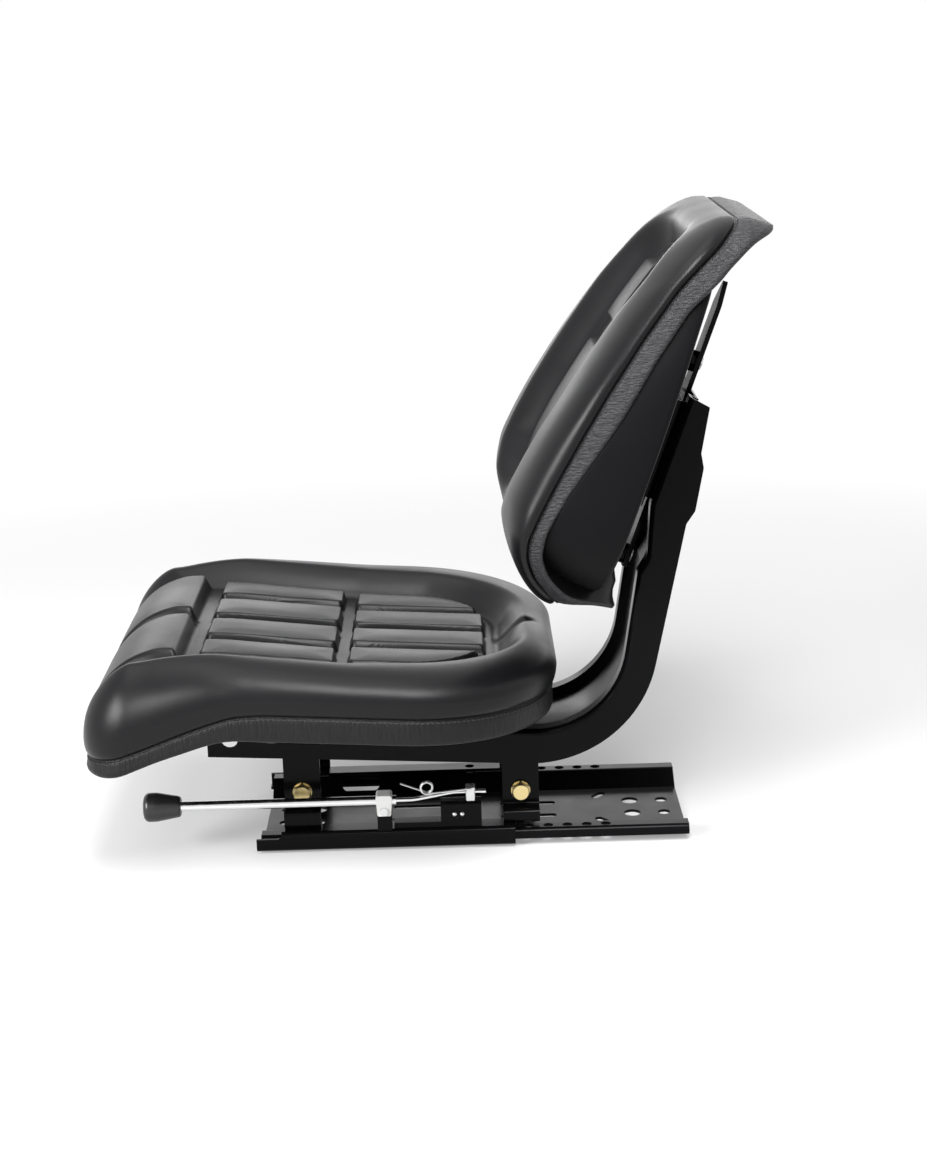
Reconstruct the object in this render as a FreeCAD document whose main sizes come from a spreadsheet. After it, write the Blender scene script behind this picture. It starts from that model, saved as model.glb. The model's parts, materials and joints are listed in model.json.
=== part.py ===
"""Tractor seat on fore-and-aft slide rails, with a height-adjustable backrest.

Units are millimetres. +X is the sitter's left, -Y is the front of the seat and +Z is up.
The origin is the middle of the base plate's underside.
"""
import FreeCAD, Part
import math
import os

V = FreeCAD.Vector

# Driving sizes: name, value, what it is
SIZES = [
    ("plate_length", 444, "base plate, front to rear"),
    ("plate_sheet", 3, "base plate, sheet thickness"),
    ("plate_floor", 108, "base plate, width of the floor between its bends"),
    ("lip_inner", 76, "base plate, middle to the lip's inner bend"),
    ("lip_outer", 94, "base plate, middle to the lip's outer face"),
    ("lip_height", 18.4, "base plate, underside to the lip's top"),
    ("lip_edge", 10.4, "base plate, depth of the turned-down edge"),
    ("bend", 2, "inside radius of the sheet-metal bends"),
    ("floor_row", 18, "floor holes, middle to each row"),
    ("mount_hole", 6.5, "floor mounting holes, radius"),
    ("mount_place", 203, "floor mounting holes, middle to each pair along Y"),
    ("access_hole", 9, "floor access holes, radius"),
    ("access_place", 169, "floor access holes, middle to each pair along Y"),
    ("slot_radius", 4.5, "floor slots, half width"),
    ("slot_length", 60, "floor slots, length between their end arcs' outer corners"),
    ("slot_place", 58, "floor slots, middle to each pair along Y"),
    ("slant_length", 20, "slanted slots, length"),
    ("slant_place", 136, "slanted slots, middle to each pair along Y"),
    ("slant_turn", 40, "slanted slots, turn from crossways, degrees"),
    ("lock_hole", 5.2, "lock holes, radius"),
    ("lock_pitch", 20, "lock holes, spacing"),
    ("lock_count", 8, "lock holes, number"),
    ("lock_place", -4, "lock pin, place along Y"),
    ("lock_row", 84, "lock pin, place along X"),
    ("notch_length", 42, "wall notch, length along Y"),
    ("notch_place", -125, "wall notch, middle along Y"),
    ("notch_corner", 6, "wall notch, corner radius"),
    ("rail_length", 268, "slide rail, front to rear"),
    ("rail_front", -226.5, "slide rail, front end along Y"),
    ("rail_sheet", 3, "slide rail, sheet thickness"),
    ("rail_flange", 24, "slide rail, width of the top flange"),
    ("rail_hook", 16, "slide rail, width of the hook under the lip"),
    ("rail_step", 26, "slide rail, length of the cut-back at its front"),
    ("rail_shelf", 14, "slide rail, height left at the cut-back"),
    ("rail_corner", 5, "slide rail, corner radius of the cut-back"),
    ("glide_inset", 2, "plastic glide, edge inside the rail's edge"),
    ("glide_wall", 1.7, "plastic glide, wall"),
    ("glide_length", 40, "plastic glide, length"),
    ("clearance", 0.3, "running clearance of the slides"),
    ("bracket_sheet", 4, "slide bracket, sheet thickness"),
    ("bracket_width", 38, "slide bracket, width along Y"),
    ("bracket_front", -178.5, "front brackets, middle along Y"),
    ("bracket_rear", 48.5, "rear brackets, middle along Y"),
    ("bracket_ledge_front", 20, "front brackets, rail's top to the ledge"),
    ("bracket_ledge_rear", 15, "rear brackets, rail's top to the ledge"),
    ("bracket_room", 8, "slide bracket, room between its top and the frame's rim"),
    ("bracket_offset", 18, "slide bracket, upright to the foot's outer wall"),
    ("bracket_bolt_front", 59, "front bracket bolts, height"),
    ("bracket_bolt_rear", 54, "rear bracket bolts, height"),
    ("lug_sheet", 5, "frame lug, plate thickness"),
    ("lug_inset", 2, "frame lug, edge inside the bracket's edge"),
    ("lug_below", 13, "frame lug, bolt to its lower edge"),
    ("lug_corner", 10, "frame lug, radius of its lower corners"),
    ("bolt_radius", 6, "bracket bolts, shank radius"),
    ("bolt_flats", 18, "bracket bolts, across the flats"),
    ("bolt_head", 7.5, "bracket bolts, head height"),
    ("nut_height", 10, "bracket nuts, height"),
    ("bolt_end", 3, "bolts, length past the nut"),
    ("hole_play", 0.25, "bolt holes, radius beyond the shank's"),
    ("washer_radius", 10, "bracket spring washers, radius"),
    ("washer_sheet", 2.2, "bracket spring washers, thickness"),
    ("frame_width", 150, "seat frame, overall width"),
    ("frame_sheet", 3, "seat frame, sheet thickness"),
    ("frame_depth", 36, "seat frame, depth of its flanges"),
    ("frame_front", -274, "seat frame, front end along Y"),
    ("frame_low", 83.6, "seat frame, flange edge's height where the curve starts"),
    ("frame_turn", 55, "seat frame, where the curve starts along Y"),
    ("frame_curve", 130, "seat frame, radius of the flange edge's curve"),
    ("frame_rim", 21, "seat frame, width of each raised rim"),
    ("frame_behind", 20.7, "seat frame, rims behind the back's foot line"),
    ("frame_round", 6, "seat frame, radius of the rims' outer edges"),
    ("frame_hole", 8.5, "seat frame, radius of the hole at its front end"),
    ("frame_hole_in", 23, "seat frame, front end to the hole"),
    ("frame_hole_up", 19, "seat frame, flange edge to the hole"),
    ("seat_tilt", 3, "slope of the seat, down to the rear, degrees"),
    ("cushion_width", 462, "seat cushion, width"),
    ("cushion_front", 383, "seat cushion, middle to its front"),
    ("cushion_rear", 84, "seat cushion, middle to its rear"),
    ("cushion_low", 34, "seat cushion, skirt's lower edge above the frame"),
    ("cushion_high", 105, "seat cushion, crest above the frame"),
    ("cushion_seam", 59, "seat cushion, seam above the frame"),
    ("cushion_droop", 43, "seat cushion, drop of its front edge"),
    ("cushion_bend", -238, "seat cushion, where its skirt starts to drop, along Y"),
    ("skirt_front", 32, "seat cushion, level stretch of its front skirt"),
    ("skirt_bend", 50, "seat cushion, radius of the skirt's bends"),
    ("cushion_nose", 75, "seat cushion, length of its front's rounding"),
    ("cushion_taper", 12, "seat cushion, how far its sides draw in towards the front"),
    ("cushion_corner", 45, "seat cushion, radius of its front corners"),
    ("cushion_round", 150, "seat cushion, radius of its rear corners"),
    ("bolster_width", 94, "seat cushion, width of the side bolster"),
    ("recess_depth", 28, "seat cushion, crest to the recessed panel"),
    ("recess_slope", 35, "cushions, how far the recess widens up to the bolster"),
    ("recess_rear", 70, "seat cushion, its rear to the recessed panel"),
    ("recess_corner", 70, "seat cushion, radius of the panel's rear corners"),
    ("pad_length", 98, "front pads, cushion's front to the groove behind them"),
    ("pad_drop", 7, "front pads, below the bolster's crest"),
    ("pad_split", 4, "front pads, width of the crease between them"),
    ("pad_crease", 5, "front pads, depth of the crease between them"),
    ("rib_start", 16, "seat ribs, front groove's width"),
    ("rib_length", 131, "seat ribs, length of the front row"),
    ("rib_gap", 17, "seat ribs, groove between the two rows"),
    ("rib_corner", 9, "ribs, corner radius"),
    ("rib_height", 9, "seat cushion, height of the ribs"),
    ("rib_pitch", 67, "seat cushion, spacing of the ribs"),
    ("rib_groove", 11, "seat cushion, gap between two ribs"),
    ("pan_sheet", 2, "seat pan, sheet thickness"),
    ("pan_width", 400, "seat pan, width at its top"),
    ("pan_front", 76, "seat pan, cushion's front to the pan's front"),
    ("pan_rear", 34, "seat pan, cushion's rear to the pan's rear"),
    ("pan_side_slope", 70, "seat pan, how far each side leans in"),
    ("pan_front_slope", 50, "seat pan, how far the front leans in"),
    ("pan_rear_slope", 40, "seat pan, how far the rear leans in"),
    ("pan_corner", 60, "seat pan, corner radius at its top"),
    ("pan_room", 1.5, "seat cushion, room round the pan in its underside"),
    ("cushion_bolt_front", -235, "front cushion bolts, place along Y"),
    ("cushion_bolt_rear", -30, "rear cushion bolts, place along Y"),
    ("back_tilt", 20, "recline of the back from upright, degrees"),
    ("back_place", 140, "back, rear face's foot along Y"),
    ("back_height", 290, "back, rear face's foot along Z"),
    ("back_width", 411, "back cushion, width"),
    ("back_taper", 38, "back cushion, how far its sides draw in towards the top"),
    ("back_widest", 0.58, "back cushion, height of its widest place as a share of its own"),
    ("back_slope", 12, "back cushion, lean of its front beyond the back's own, degrees"),
    ("back_front", 145, "back cushion, foot line to its front, across the slope"),
    ("back_top", 361, "back cushion, foot to its top along the slope"),
    ("back_low", 48, "back cushion, foot to its lowest place along the slope"),
    ("back_corner", 95, "back cushion, radius of its lower corners"),
    ("back_round", 84, "back cushion, radius of its upper corners"),
    ("back_bolster", 97, "back cushion, width of the side bolster"),
    ("back_recess", 26, "back cushion, depth of the middle"),
    ("recess_lean", 3, "back cushion, lean of the recess beyond the front's, degrees"),
    ("recess_low", 45, "back cushion, foot to the recess along the slope"),
    ("recess_high", 300, "back cushion, foot to the top of the recess along the slope"),
    ("back_rib_pitch", 54, "back ribs, spacing"),
    ("back_rib_length", 118, "back ribs, length of the lower row"),
    ("shell_low", 15, "back shell, lower edge below the back's foot"),
    ("shell_rear", -9, "back shell, rear face behind the back's foot line"),
    ("shell_top", 322, "back shell, top above the back's foot"),
    ("shell_round", 6, "back shell, radius of its rear edges"),
    ("shell_inset", 4, "back shell, edge inside the cushion's edge"),
    ("strap_width", 32, "back strap, width"),
    ("strap_point", 26, "back strap, length of its pointed tip"),
    ("strap_sheet", 5, "back strap, thickness"),
    ("strap_top", 307, "back strap, tip above the back's foot"),
    ("strap_foot", -6, "back strap, lower end above the back's foot"),
    ("strap_place", 24, "back strap, front face behind the back's foot line"),
    ("back_travel", 50, "back, height adjustment"),
    ("clamp_bolt", 4, "clamp bolts, shank radius"),
    ("clamp_sheet", 4, "clamp channel, sheet thickness"),
    ("clamp_width", 100, "clamp channel, width"),
    ("clamp_length", 104, "clamp channel, length along the back"),
    ("clamp_flange", 15, "clamp channel, height of its flanges"),
    ("clamp_nut", 6.5, "small nuts, height"),
    ("clamp_low", 112, "lower clamp bolt above the back's foot"),
    ("clamp_high", 172, "upper clamp bolt above the back's foot"),
    ("spacer_radius", 11, "back spacers, radius"),
    ("spacer_low", 5, "lower back spacer above the back's foot"),
    ("spacer_high", 218, "upper back spacer above the back's foot"),
    ("lever_radius", 5, "adjusting lever, rod radius"),
    ("lever_tail", 2.2, "adjusting lever, radius of its tail"),
    ("lever_side", 97, "adjusting lever, place of its rod along X"),
    ("lever_height", 56, "adjusting lever, height of its rod"),
    ("lever_front", -332, "adjusting lever, front end of its rod along Y"),
    ("pivot_place", -93, "lever pivot, place along Y"),
    ("pivot_height", 47, "lever pivot, height"),
    ("pivot_radius", 2.5, "lever pivot, pin radius"),
    ("block_length", 17, "lever block, length along Y"),
    ("block_width", 18, "lever block, width along X"),
    ("block_top", 64, "lever block, height of its top"),
    ("block_low", 42, "lever block, height of its underside"),
    ("knob_length", 38, "lever knob, length"),
    ("knob_radius", 15, "lever knob, radius at its front"),
    ("knob_neck", 10.5, "lever knob, radius at its rear"),
    ("pin_radius", 5, "lock pin, radius"),
    ("pin_tip", 12.5, "lock pin, height of its tip"),
    ("latch_front", -35, "latch housing, front along Y"),
    ("latch_length", 42, "latch housing, length along Y"),
    ("latch_top", 50, "latch housing, height of its top"),
    ("latch_width", 19, "latch housing, width along X"),
    ("latch_sheet", 2.5, "latch housing, sheet thickness"),
    ("guide_height", 6, "latch guide bar, height"),
    ("spring_wire", 1.1, "lever spring, wire radius"),
    ("spring_coil", 6, "lever spring, radius of its coil"),
    ("screw_radius", 4, "cushion bolts, shank radius"),
    ("screw_flats", 13, "small bolts, across the flats"),
    ("screw_head", 5.3, "small bolts, head height"),
    ("back_screw_head", 3, "back bolts, height of their low heads"),
]

doc = FreeCAD.newDocument("tractor_seat")
sheet = doc.addObject("Spreadsheet::Sheet", "Sizes")
for row, (alias, value, meaning) in enumerate(SIZES, 1):
    sheet.set("A%d" % row, meaning)
    sheet.set("B%d" % row, str(value))
    sheet.setAlias("B%d" % row, alias)
doc.recompute()

parts = []
LEFT = 1
RIGHT = -1
SIDE_NAMES = {LEFT: "left", RIGHT: "right"}


def size(alias):
    """Value of one cell of the sheet."""
    return float(sheet.get(alias))


def turned(path, number):
    """Signed turn of a path at one of its points, in radians, positive to the left."""
    (ax, ay), (bx, by), (cx, cy) = path[number - 1], path[number], path[(number + 1) % len(path)]
    first = math.atan2(by - ay, bx - ax)
    second = math.atan2(cy - by, cx - bx)
    return (second - first + math.pi) % (2 * math.pi) - math.pi


def rounded(corners):
    """Closed outline through (x, y, radius) corners, with a tangent arc where the radius isn't 0."""
    points = [V(x, y, 0) for x, y, radius in corners]
    starts = []
    ends = []
    arcs = []
    for number, (x, y, radius) in enumerate(corners):
        here = points[number]
        back = (points[number - 1] - here).normalize()
        ahead = (points[(number + 1) % len(points)] - here).normalize()
        if radius <= 0:
            starts.append(here)
            ends.append(here)
            arcs.append(None)
            continue
        half = back.getAngle(ahead) / 2
        reach = radius / math.tan(half)
        middle = (back + ahead).normalize() * (radius / math.sin(half) - radius)
        starts.append(here + back * reach)
        ends.append(here + ahead * reach)
        arcs.append(Part.Arc(starts[-1], here + middle, ends[-1]))
    outline = []
    for number, arc in enumerate(arcs):
        if arc is not None:
            outline.append(arc)
        following = starts[(number + 1) % len(starts)]
        if (following - ends[number]).Length > 1e-6:
            outline.append(Part.LineSegment(ends[number], following))
    return outline


def offset(path, distance):
    """Open path moved sideways, positive to its left, with mitred corners."""
    moved = []
    for number, (x, y) in enumerate(path):
        before = path[max(number - 1, 0)]
        here = path[number]
        after = path[min(number + 1, len(path) - 1)]
        first = before if number else (2 * x - after[0], 2 * y - after[1])
        last = after if number < len(path) - 1 else (2 * x - before[0], 2 * y - before[1])
        one = V(here[0] - first[0], here[1] - first[1], 0).normalize()
        two = V(last[0] - here[0], last[1] - here[1], 0).normalize()
        normal = (V(-one.y, one.x, 0) + V(-two.y, two.x, 0)).normalize()
        reach = distance / (normal.x * -one.y + normal.y * one.x)
        moved.append((x + normal.x * reach, y + normal.y * reach))
    return moved


def strip(path, thickness, bend):
    """Corners of a folded sheet's section along the middle line of its wall."""
    left = offset(path, thickness / 2)
    right = offset(path, -thickness / 2)
    last = len(path) - 1
    corners = []
    for number, (x, y) in enumerate(left):
        inner = 0 < number < last
        radius = (bend if turned(path, number) > 0 else bend + thickness) if inner else 0
        corners.append((x, y, radius))
    for number in range(last, -1, -1):
        x, y = right[number]
        inner = 0 < number < last
        radius = (bend if turned(path, number) < 0 else bend + thickness) if inner else 0
        corners.append((x, y, radius))
    return corners


def box(x0, y0, x1, y1, radius=0):
    """Corners of a rectangle."""
    return [(x0, y0, radius), (x1, y0, radius), (x1, y1, radius), (x0, y1, radius)]


def circle(x, y, radius):
    """One circle as an outline."""
    return [Part.Circle(V(x, y, 0), V(0, 0, 1), radius)]


def hexagon(flats, start=0):
    """Corners of a hexagon about the origin, the first one start degrees round from its X axis."""
    corner = flats / math.sqrt(3)
    turns = [math.radians(start + 60 * number) for number in range(6)]
    return [(corner * math.cos(turn), corner * math.sin(turn), 0) for turn in turns]


def body(name, tilt=0, place=(0, 0, 0)):
    """A named body, leaned back by tilt degrees about X and moved to its place."""
    made = doc.addObject("PartDesign::Body", name)
    made.Label = name
    made.Placement = FreeCAD.Placement(V(*place), FreeCAD.Rotation(V(1, 0, 0), -tilt))
    parts.append(made)
    return made


def sketch(owner, plane, outlines, height=0):
    """A sketch on one of the body's own planes, raised along its normal or placed on it."""
    made = owner.newObject("Sketcher::SketchObject", owner.Name + "_sketch")
    support = [item for item in owner.Origin.OriginFeatures if item.Role == plane + "_Plane"][0]
    made.AttachmentSupport = (support, [""])
    made.MapMode = "FlatFace"
    raised = isinstance(height, (int, float))
    made.AttachmentOffset = FreeCAD.Placement(V(0, 0, height), FreeCAD.Rotation()) if raised else height
    for outline in outlines:
        edges = rounded(outline) if isinstance(outline[0], tuple) else outline
        for edge in edges:
            made.addGeometry(edge)
    return made


def pad(owner, plane, outlines, length, height=0, both=False, reverse=False):
    """A pad whose length is an expression on the sheet."""
    made = owner.newObject("PartDesign::Pad", owner.Name + "_pad")
    made.Profile = sketch(owner, plane, outlines, height)
    made.setExpression("Length", length)
    made.SideType = "Symmetric" if both else "One side"
    made.Reversed = reverse
    doc.recompute()
    return made


def pocket(owner, plane, outlines, length=None, height=0, both=True, reverse=False):
    """A pocket through everything, or as deep as an expression on the sheet says."""
    before = owner.Shape.Volume
    made = owner.newObject("PartDesign::Pocket", owner.Name + "_pocket")
    made.Profile = sketch(owner, plane, outlines, height)
    made.SideType = "Symmetric" if both else "One side"
    made.Reversed = reverse
    if length is None:
        made.Type = "ThroughAll"
    else:
        made.setExpression("Length", length)
    doc.recompute()
    if not owner.Shape.Volume < before:
        raise RuntimeError("a pocket of %s cuts nothing" % owner.Label)
    return made


def fillet(owner, radius, chosen):
    """Round the edges of the body's last feature that the test chosen picks."""
    base = owner.Tip
    names = ["Edge%d" % (number + 1) for number, edge in enumerate(base.Shape.Edges) if chosen(edge)]
    if not names:
        raise RuntimeError("no edge to round on %s" % owner.Label)
    made = owner.newObject("PartDesign::Fillet", owner.Name + "_fillet")
    made.Base = (base, names)
    made.Radius = radius
    doc.recompute()
    return made


def solids(name, shapes):
    """Separate solids of one node, such as a set of like bolts."""
    made = doc.addObject("Part::Feature", name)
    made.Label = name
    made.Shape = shapes[0] if len(shapes) == 1 else Part.makeCompound(shapes)
    made.Placement = FreeCAD.Placement()
    parts.append(made)
    return made


def prism(corners, base, direction, length):
    """Solid of an outline given in the plane across direction, starting at base."""
    wire = Part.Wire([edge.toShape() for edge in rounded(corners)])
    solid = Part.Face(wire).extrude(V(0, 0, length))
    solid.Placement = FreeCAD.Placement(base, FreeCAD.Rotation(V(0, 0, 1), direction))
    return solid


def rod(radius, start, end):
    """Round bar between two points."""
    return Part.makeCylinder(radius, (end - start).Length, start, end - start)


# Heights and places that follow from the sizes
SHEET = size("plate_sheet")
GAP = size("clearance")
LIP_TOP = size("lip_height")
LIP_LOW = LIP_TOP - size("lip_edge")
RAIL = size("rail_sheet")
RAIL_IN = size("lip_outer") + GAP + size("glide_wall")
RAIL_OUT = RAIL_IN + RAIL
RAIL_TOP = LIP_TOP + GAP + size("glide_wall") + RAIL
RAIL_LOW = LIP_LOW - GAP - size("glide_wall") - RAIL
RAIL_REAR = size("rail_front") + size("rail_length")
FRAME_HALF = size("frame_width") / 2
FRAME_IN = FRAME_HALF - size("frame_sheet")
RIM_BEHIND = size("frame_behind")
RECESS = size("strap_place") + size("strap_sheet") + GAP - RIM_BEHIND
SLOPE = math.radians(size("seat_tilt"))
LEAN = math.radians(size("back_tilt"))
PLAY = size("hole_play")
BRACKETS = {
    end: (size("bracket_" + end), size("bracket_bolt_" + end), size("bracket_ledge_" + end))
    for end in ("front", "rear")
}


def flange_low(y):
    """Height of the seat frame's flange edge on its straight stretch."""
    return size("frame_low") - (y - size("frame_turn")) * math.tan(SLOPE)


def rim_top(y):
    """Height of the seat frame's raised rims on their straight stretch."""
    return flange_low(y) + size("frame_depth") / math.cos(SLOPE)


def in_back(behind, up):
    """(Y, Z) of a point that lies behind the back's foot line and up along it."""
    y = size("back_place") + behind * math.cos(LEAN) + up * math.sin(LEAN)
    z = size("back_height") - behind * math.sin(LEAN) + up * math.cos(LEAN)
    return y, z


# Rounding of the seat cushion from its seam to its crest, as shares of the rise between them,
# of the bolster's width and of the nose
SEAT_SWELL = [
    (0, 0, 0.07),
    (0.37, 0, 0.25),
    (0.63, 0.05, 0.40),
    (0.80, 0.15, 0.55),
    (0.94, 0.30, 0.73),
    (1, 0.53, 1),
]
# Rounding of the back cushion: how far behind its front, then the insets of its sides, foot and top
BACK_SWELL = [
    (60, 0, 0, 1),
    (44, 0, 6, 9),
    (24, 0, 24, 36),
    (13, 8, 42, 58),
    (5, 24, 58, 93),
    (0, 46, 78, 146),
]
SEAT_PLACE = (0, 0, rim_top(0))
BACK_PLACE = (0, size("back_place"), size("back_height"))


def make_base_plate():
    """Pressed tray with a lip along each side, which the slide rails hook round."""
    made = body("base_plate")
    half_floor = size("plate_floor") / 2
    lip_mid = LIP_TOP - SHEET / 2
    edge_mid = size("lip_outer") - SHEET / 2
    right_half = [
        (half_floor, SHEET / 2),
        (size("lip_inner"), lip_mid),
        (edge_mid, lip_mid),
        (edge_mid, LIP_LOW),
    ]
    path = [(-x, z) for x, z in reversed(right_half)] + right_half
    pad(made, "XZ", [strip(path, SHEET, size("bend"))], "Sizes.plate_length", both=True)
    pocket(made, "XY", [
        circle(side * size("lock_row"), size("lock_place") + number * size("lock_pitch"), size("lock_hole"))
        for side in (LEFT, RIGHT) for number in range(int(size("lock_count")))])
    half_notch = size("notch_length") / 2
    notch = [
        (size("notch_place") - half_notch, 2 * SHEET, size("notch_corner")),
        (size("notch_place") + half_notch, 2 * SHEET, size("notch_corner")),
        (size("notch_place") + half_notch, 2 * LIP_TOP, 0),
        (size("notch_place") - half_notch, 2 * LIP_TOP, 0),
    ]
    pocket(made, "YZ", [notch])
    row = size("floor_row")
    slot = size("slot_radius")
    floor_cuts = []
    for side in (LEFT, RIGHT):
        for end in (1, -1):
            floor_cuts.append(circle(side * row, end * size("mount_place"), size("mount_hole")))
            floor_cuts.append(circle(side * row, end * size("access_place"), size("access_hole")))
            floor_cuts.append(slanted_slot(side * 2 * row, end * size("slant_place"), slot,
                                           size("slant_length"), side * end * size("slant_turn")))
            floor_cuts.append(slanted_slot(side * row, end * size("slot_place"), slot,
                                           size("slot_length"), 90))
    pocket(made, "XY", floor_cuts)
    return made


def slanted_slot(x, y, radius, length, degrees):
    """Corners of a round-ended slot about a centre."""
    turn = math.radians(degrees)
    reach = length / 2
    corners = [(-reach, -radius), (reach, -radius), (reach, radius), (-reach, radius)]
    return [(x + a * math.cos(turn) - b * math.sin(turn),
             y + a * math.sin(turn) + b * math.cos(turn), radius * 0.999) for a, b in corners]


def make_slide_rail(side):
    """C-shaped rail that hooks round one lip, cut back at its front."""
    made = body("slide_rail_" + SIDE_NAMES[side])
    out = RAIL_OUT - RAIL / 2
    top = RAIL_TOP - RAIL / 2
    low = RAIL_LOW + RAIL / 2
    path = [
        (side * (RAIL_OUT - size("rail_flange")), top),
        (side * out, top),
        (side * out, low),
        (side * (RAIL_OUT - size("rail_hook")), low),
    ]
    pad(made, "XZ", [strip(path, RAIL, size("bend"))], "Sizes.rail_length",
        height=-size("rail_front"), reverse=True)
    front = size("rail_front")
    step = front + size("rail_step")
    shelf = RAIL_LOW + size("rail_shelf")
    above = RAIL_TOP + RAIL
    pocket(made, "YZ", [[(front - RAIL, shelf, 0), (step, shelf, size("rail_corner")),
                         (step, above, 0), (front - RAIL, above, 0)]])
    pocket(made, "XY", [circle(side * size("lock_row"), size("lock_place"), size("lock_hole"))])
    return made


def make_glide(side, end, rear_edge):
    """Plastic C-shaped liner between a rail and its lip."""
    made = body("slide_glide_%s_%s" % (end, SIDE_NAMES[side]))
    wall = size("glide_wall")
    out = RAIL_IN - wall / 2
    top = RAIL_TOP - RAIL - wall / 2
    low = RAIL_LOW + RAIL + wall / 2
    path = [
        (side * (RAIL_OUT - size("rail_flange") + size("glide_inset")), top),
        (side * out, top),
        (side * out, low),
        (side * (RAIL_OUT - size("rail_hook") + size("glide_inset")), low),
    ]
    pad(made, "XZ", [strip(path, wall, size("bend") - wall)], "Sizes.glide_length",
        height=-rear_edge)
    return made


def make_slide_bracket(side, end):
    """Folded bracket: foot on the rail, outer wall, ledge and upright up inside the seat frame."""
    place, bolt, rise = BRACKETS[end]
    made = body("slide_bracket_%s_%s" % (end, SIDE_NAMES[side]))
    thick = size("bracket_sheet")
    upright = FRAME_IN - thick / 2
    wall = upright + size("bracket_offset")
    foot = RAIL_TOP + thick / 2
    ledge = RAIL_TOP + rise - thick / 2
    top = rim_top(place + size("bracket_width")) - size("frame_sheet") - size("bracket_room")
    path = [(upright, foot), (wall, foot), (wall, ledge), (upright, ledge), (upright, top)]
    path = [(side * x, z) for x, z in path]
    pad(made, "XZ", [strip(path, thick, size("bend"))], "Sizes.bracket_width",
        height=-place, both=True)
    pocket(made, "YZ", [circle(place, bolt, size("bolt_radius") + PLAY)])
    return made


def make_frame_lug(side, end):
    """Plate welded under the frame's rim and clamped to the slide bracket by one bolt."""
    place, bolt, rise = BRACKETS[end]
    made = body("frame_lug_%s_%s" % (end, SIDE_NAMES[side]))
    half = size("bracket_width") / 2 - size("lug_inset")
    thick = size("lug_sheet")
    low = bolt - size("lug_below")
    head = size("frame_sheet") / math.cos(SLOPE)
    outline = [
        (place - half, low, size("lug_corner")),
        (place + half, low, size("lug_corner")),
        (place + half, rim_top(place + half) - head, 0),
        (place - half, rim_top(place - half) - head, 0),
    ]
    inner = FRAME_IN - size("bracket_sheet") - thick
    height = inner if side == LEFT else -inner - thick
    pad(made, "YZ", [outline], "Sizes.lug_sheet", height=height)
    pocket(made, "YZ", [circle(place, bolt, size("bolt_radius") + PLAY)])
    return made


def make_bracket_fasteners():
    """Hexagon bolts, washers and nuts that clamp the brackets to the lugs."""
    face = FRAME_IN
    inner = FRAME_IN - size("bracket_sheet") - size("lug_sheet")
    washer = size("washer_sheet")
    nut = size("nut_height")
    shank = size("bolt_radius")
    bolts, washers, nuts = [], [], []
    for side in (LEFT, RIGHT):
        for place, bolt, rise in BRACKETS.values():
            out = V(side, 0, 0)
            seat = V(side * (face + washer), place, bolt)
            end = V(side * (inner - nut - size("bolt_end")), place, bolt)
            head = prism(hexagon(size("bolt_flats")), seat, out, size("bolt_head"))
            crown = Part.makeCone(size("bolt_flats") * 0.62, size("bolt_flats") * 0.44, size("bolt_head"),
                                  seat, out)
            bolts.append(head.common(crown).fuse(rod(shank, end, seat)).removeSplitter())
            ring = rod(size("washer_radius"), V(side * face, place, bolt), seat)
            washers.append(ring.cut(rod(shank + PLAY, end, seat)))
            back = V(side * (inner - nut), place, bolt)
            block = prism(hexagon(size("bolt_flats")), back, out, nut)
            nuts.append(block.cut(rod(shank, end, seat)))
    solids("bracket_bolts", bolts)
    solids("bracket_washers", washers)
    solids("bracket_nuts", nuts)


def frame_paths():
    """Side-view paths of the frame's raised rims and of its flange edge, front to top."""
    front = size("frame_front")
    rim = RIM_BEHIND
    rim_line = [
        (front, rim_top(front), 0),
        (145.5, rim_top(145.5), size("frame_curve") - size("frame_depth")),
        (172, 284, 12),
        (182, 300, 20),
        in_back(rim, 76) + (30,),
        in_back(rim, 192) + (0,),
    ]
    edge_line = [
        (front, flange_low(front), 0),
        (166.4, flange_low(166.4), size("frame_curve")),
        (221, 334, 6),
        (230, 347, 8),
        (238.5, 391, 8),
        (236, 406, 6),
        in_back(rim + 22, 188) + (0,),
    ]
    return rim_line, edge_line


def moved_path(line, distance):
    """Path moved away from the seat side, with its radii kept concentric."""
    path = [(y, z) for y, z, radius in line]
    radii = [radius for y, z, radius in line]
    moved = offset(path, -distance)
    result = []
    for number, (y, z) in enumerate(moved):
        radius = radii[number]
        inner = 0 < number < len(path) - 1
        if inner and radius:
            radius += distance if turned(path, number) > 0 else -distance
        result.append((y, z, max(radius, 1) if inner else 0))
    return result


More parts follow.
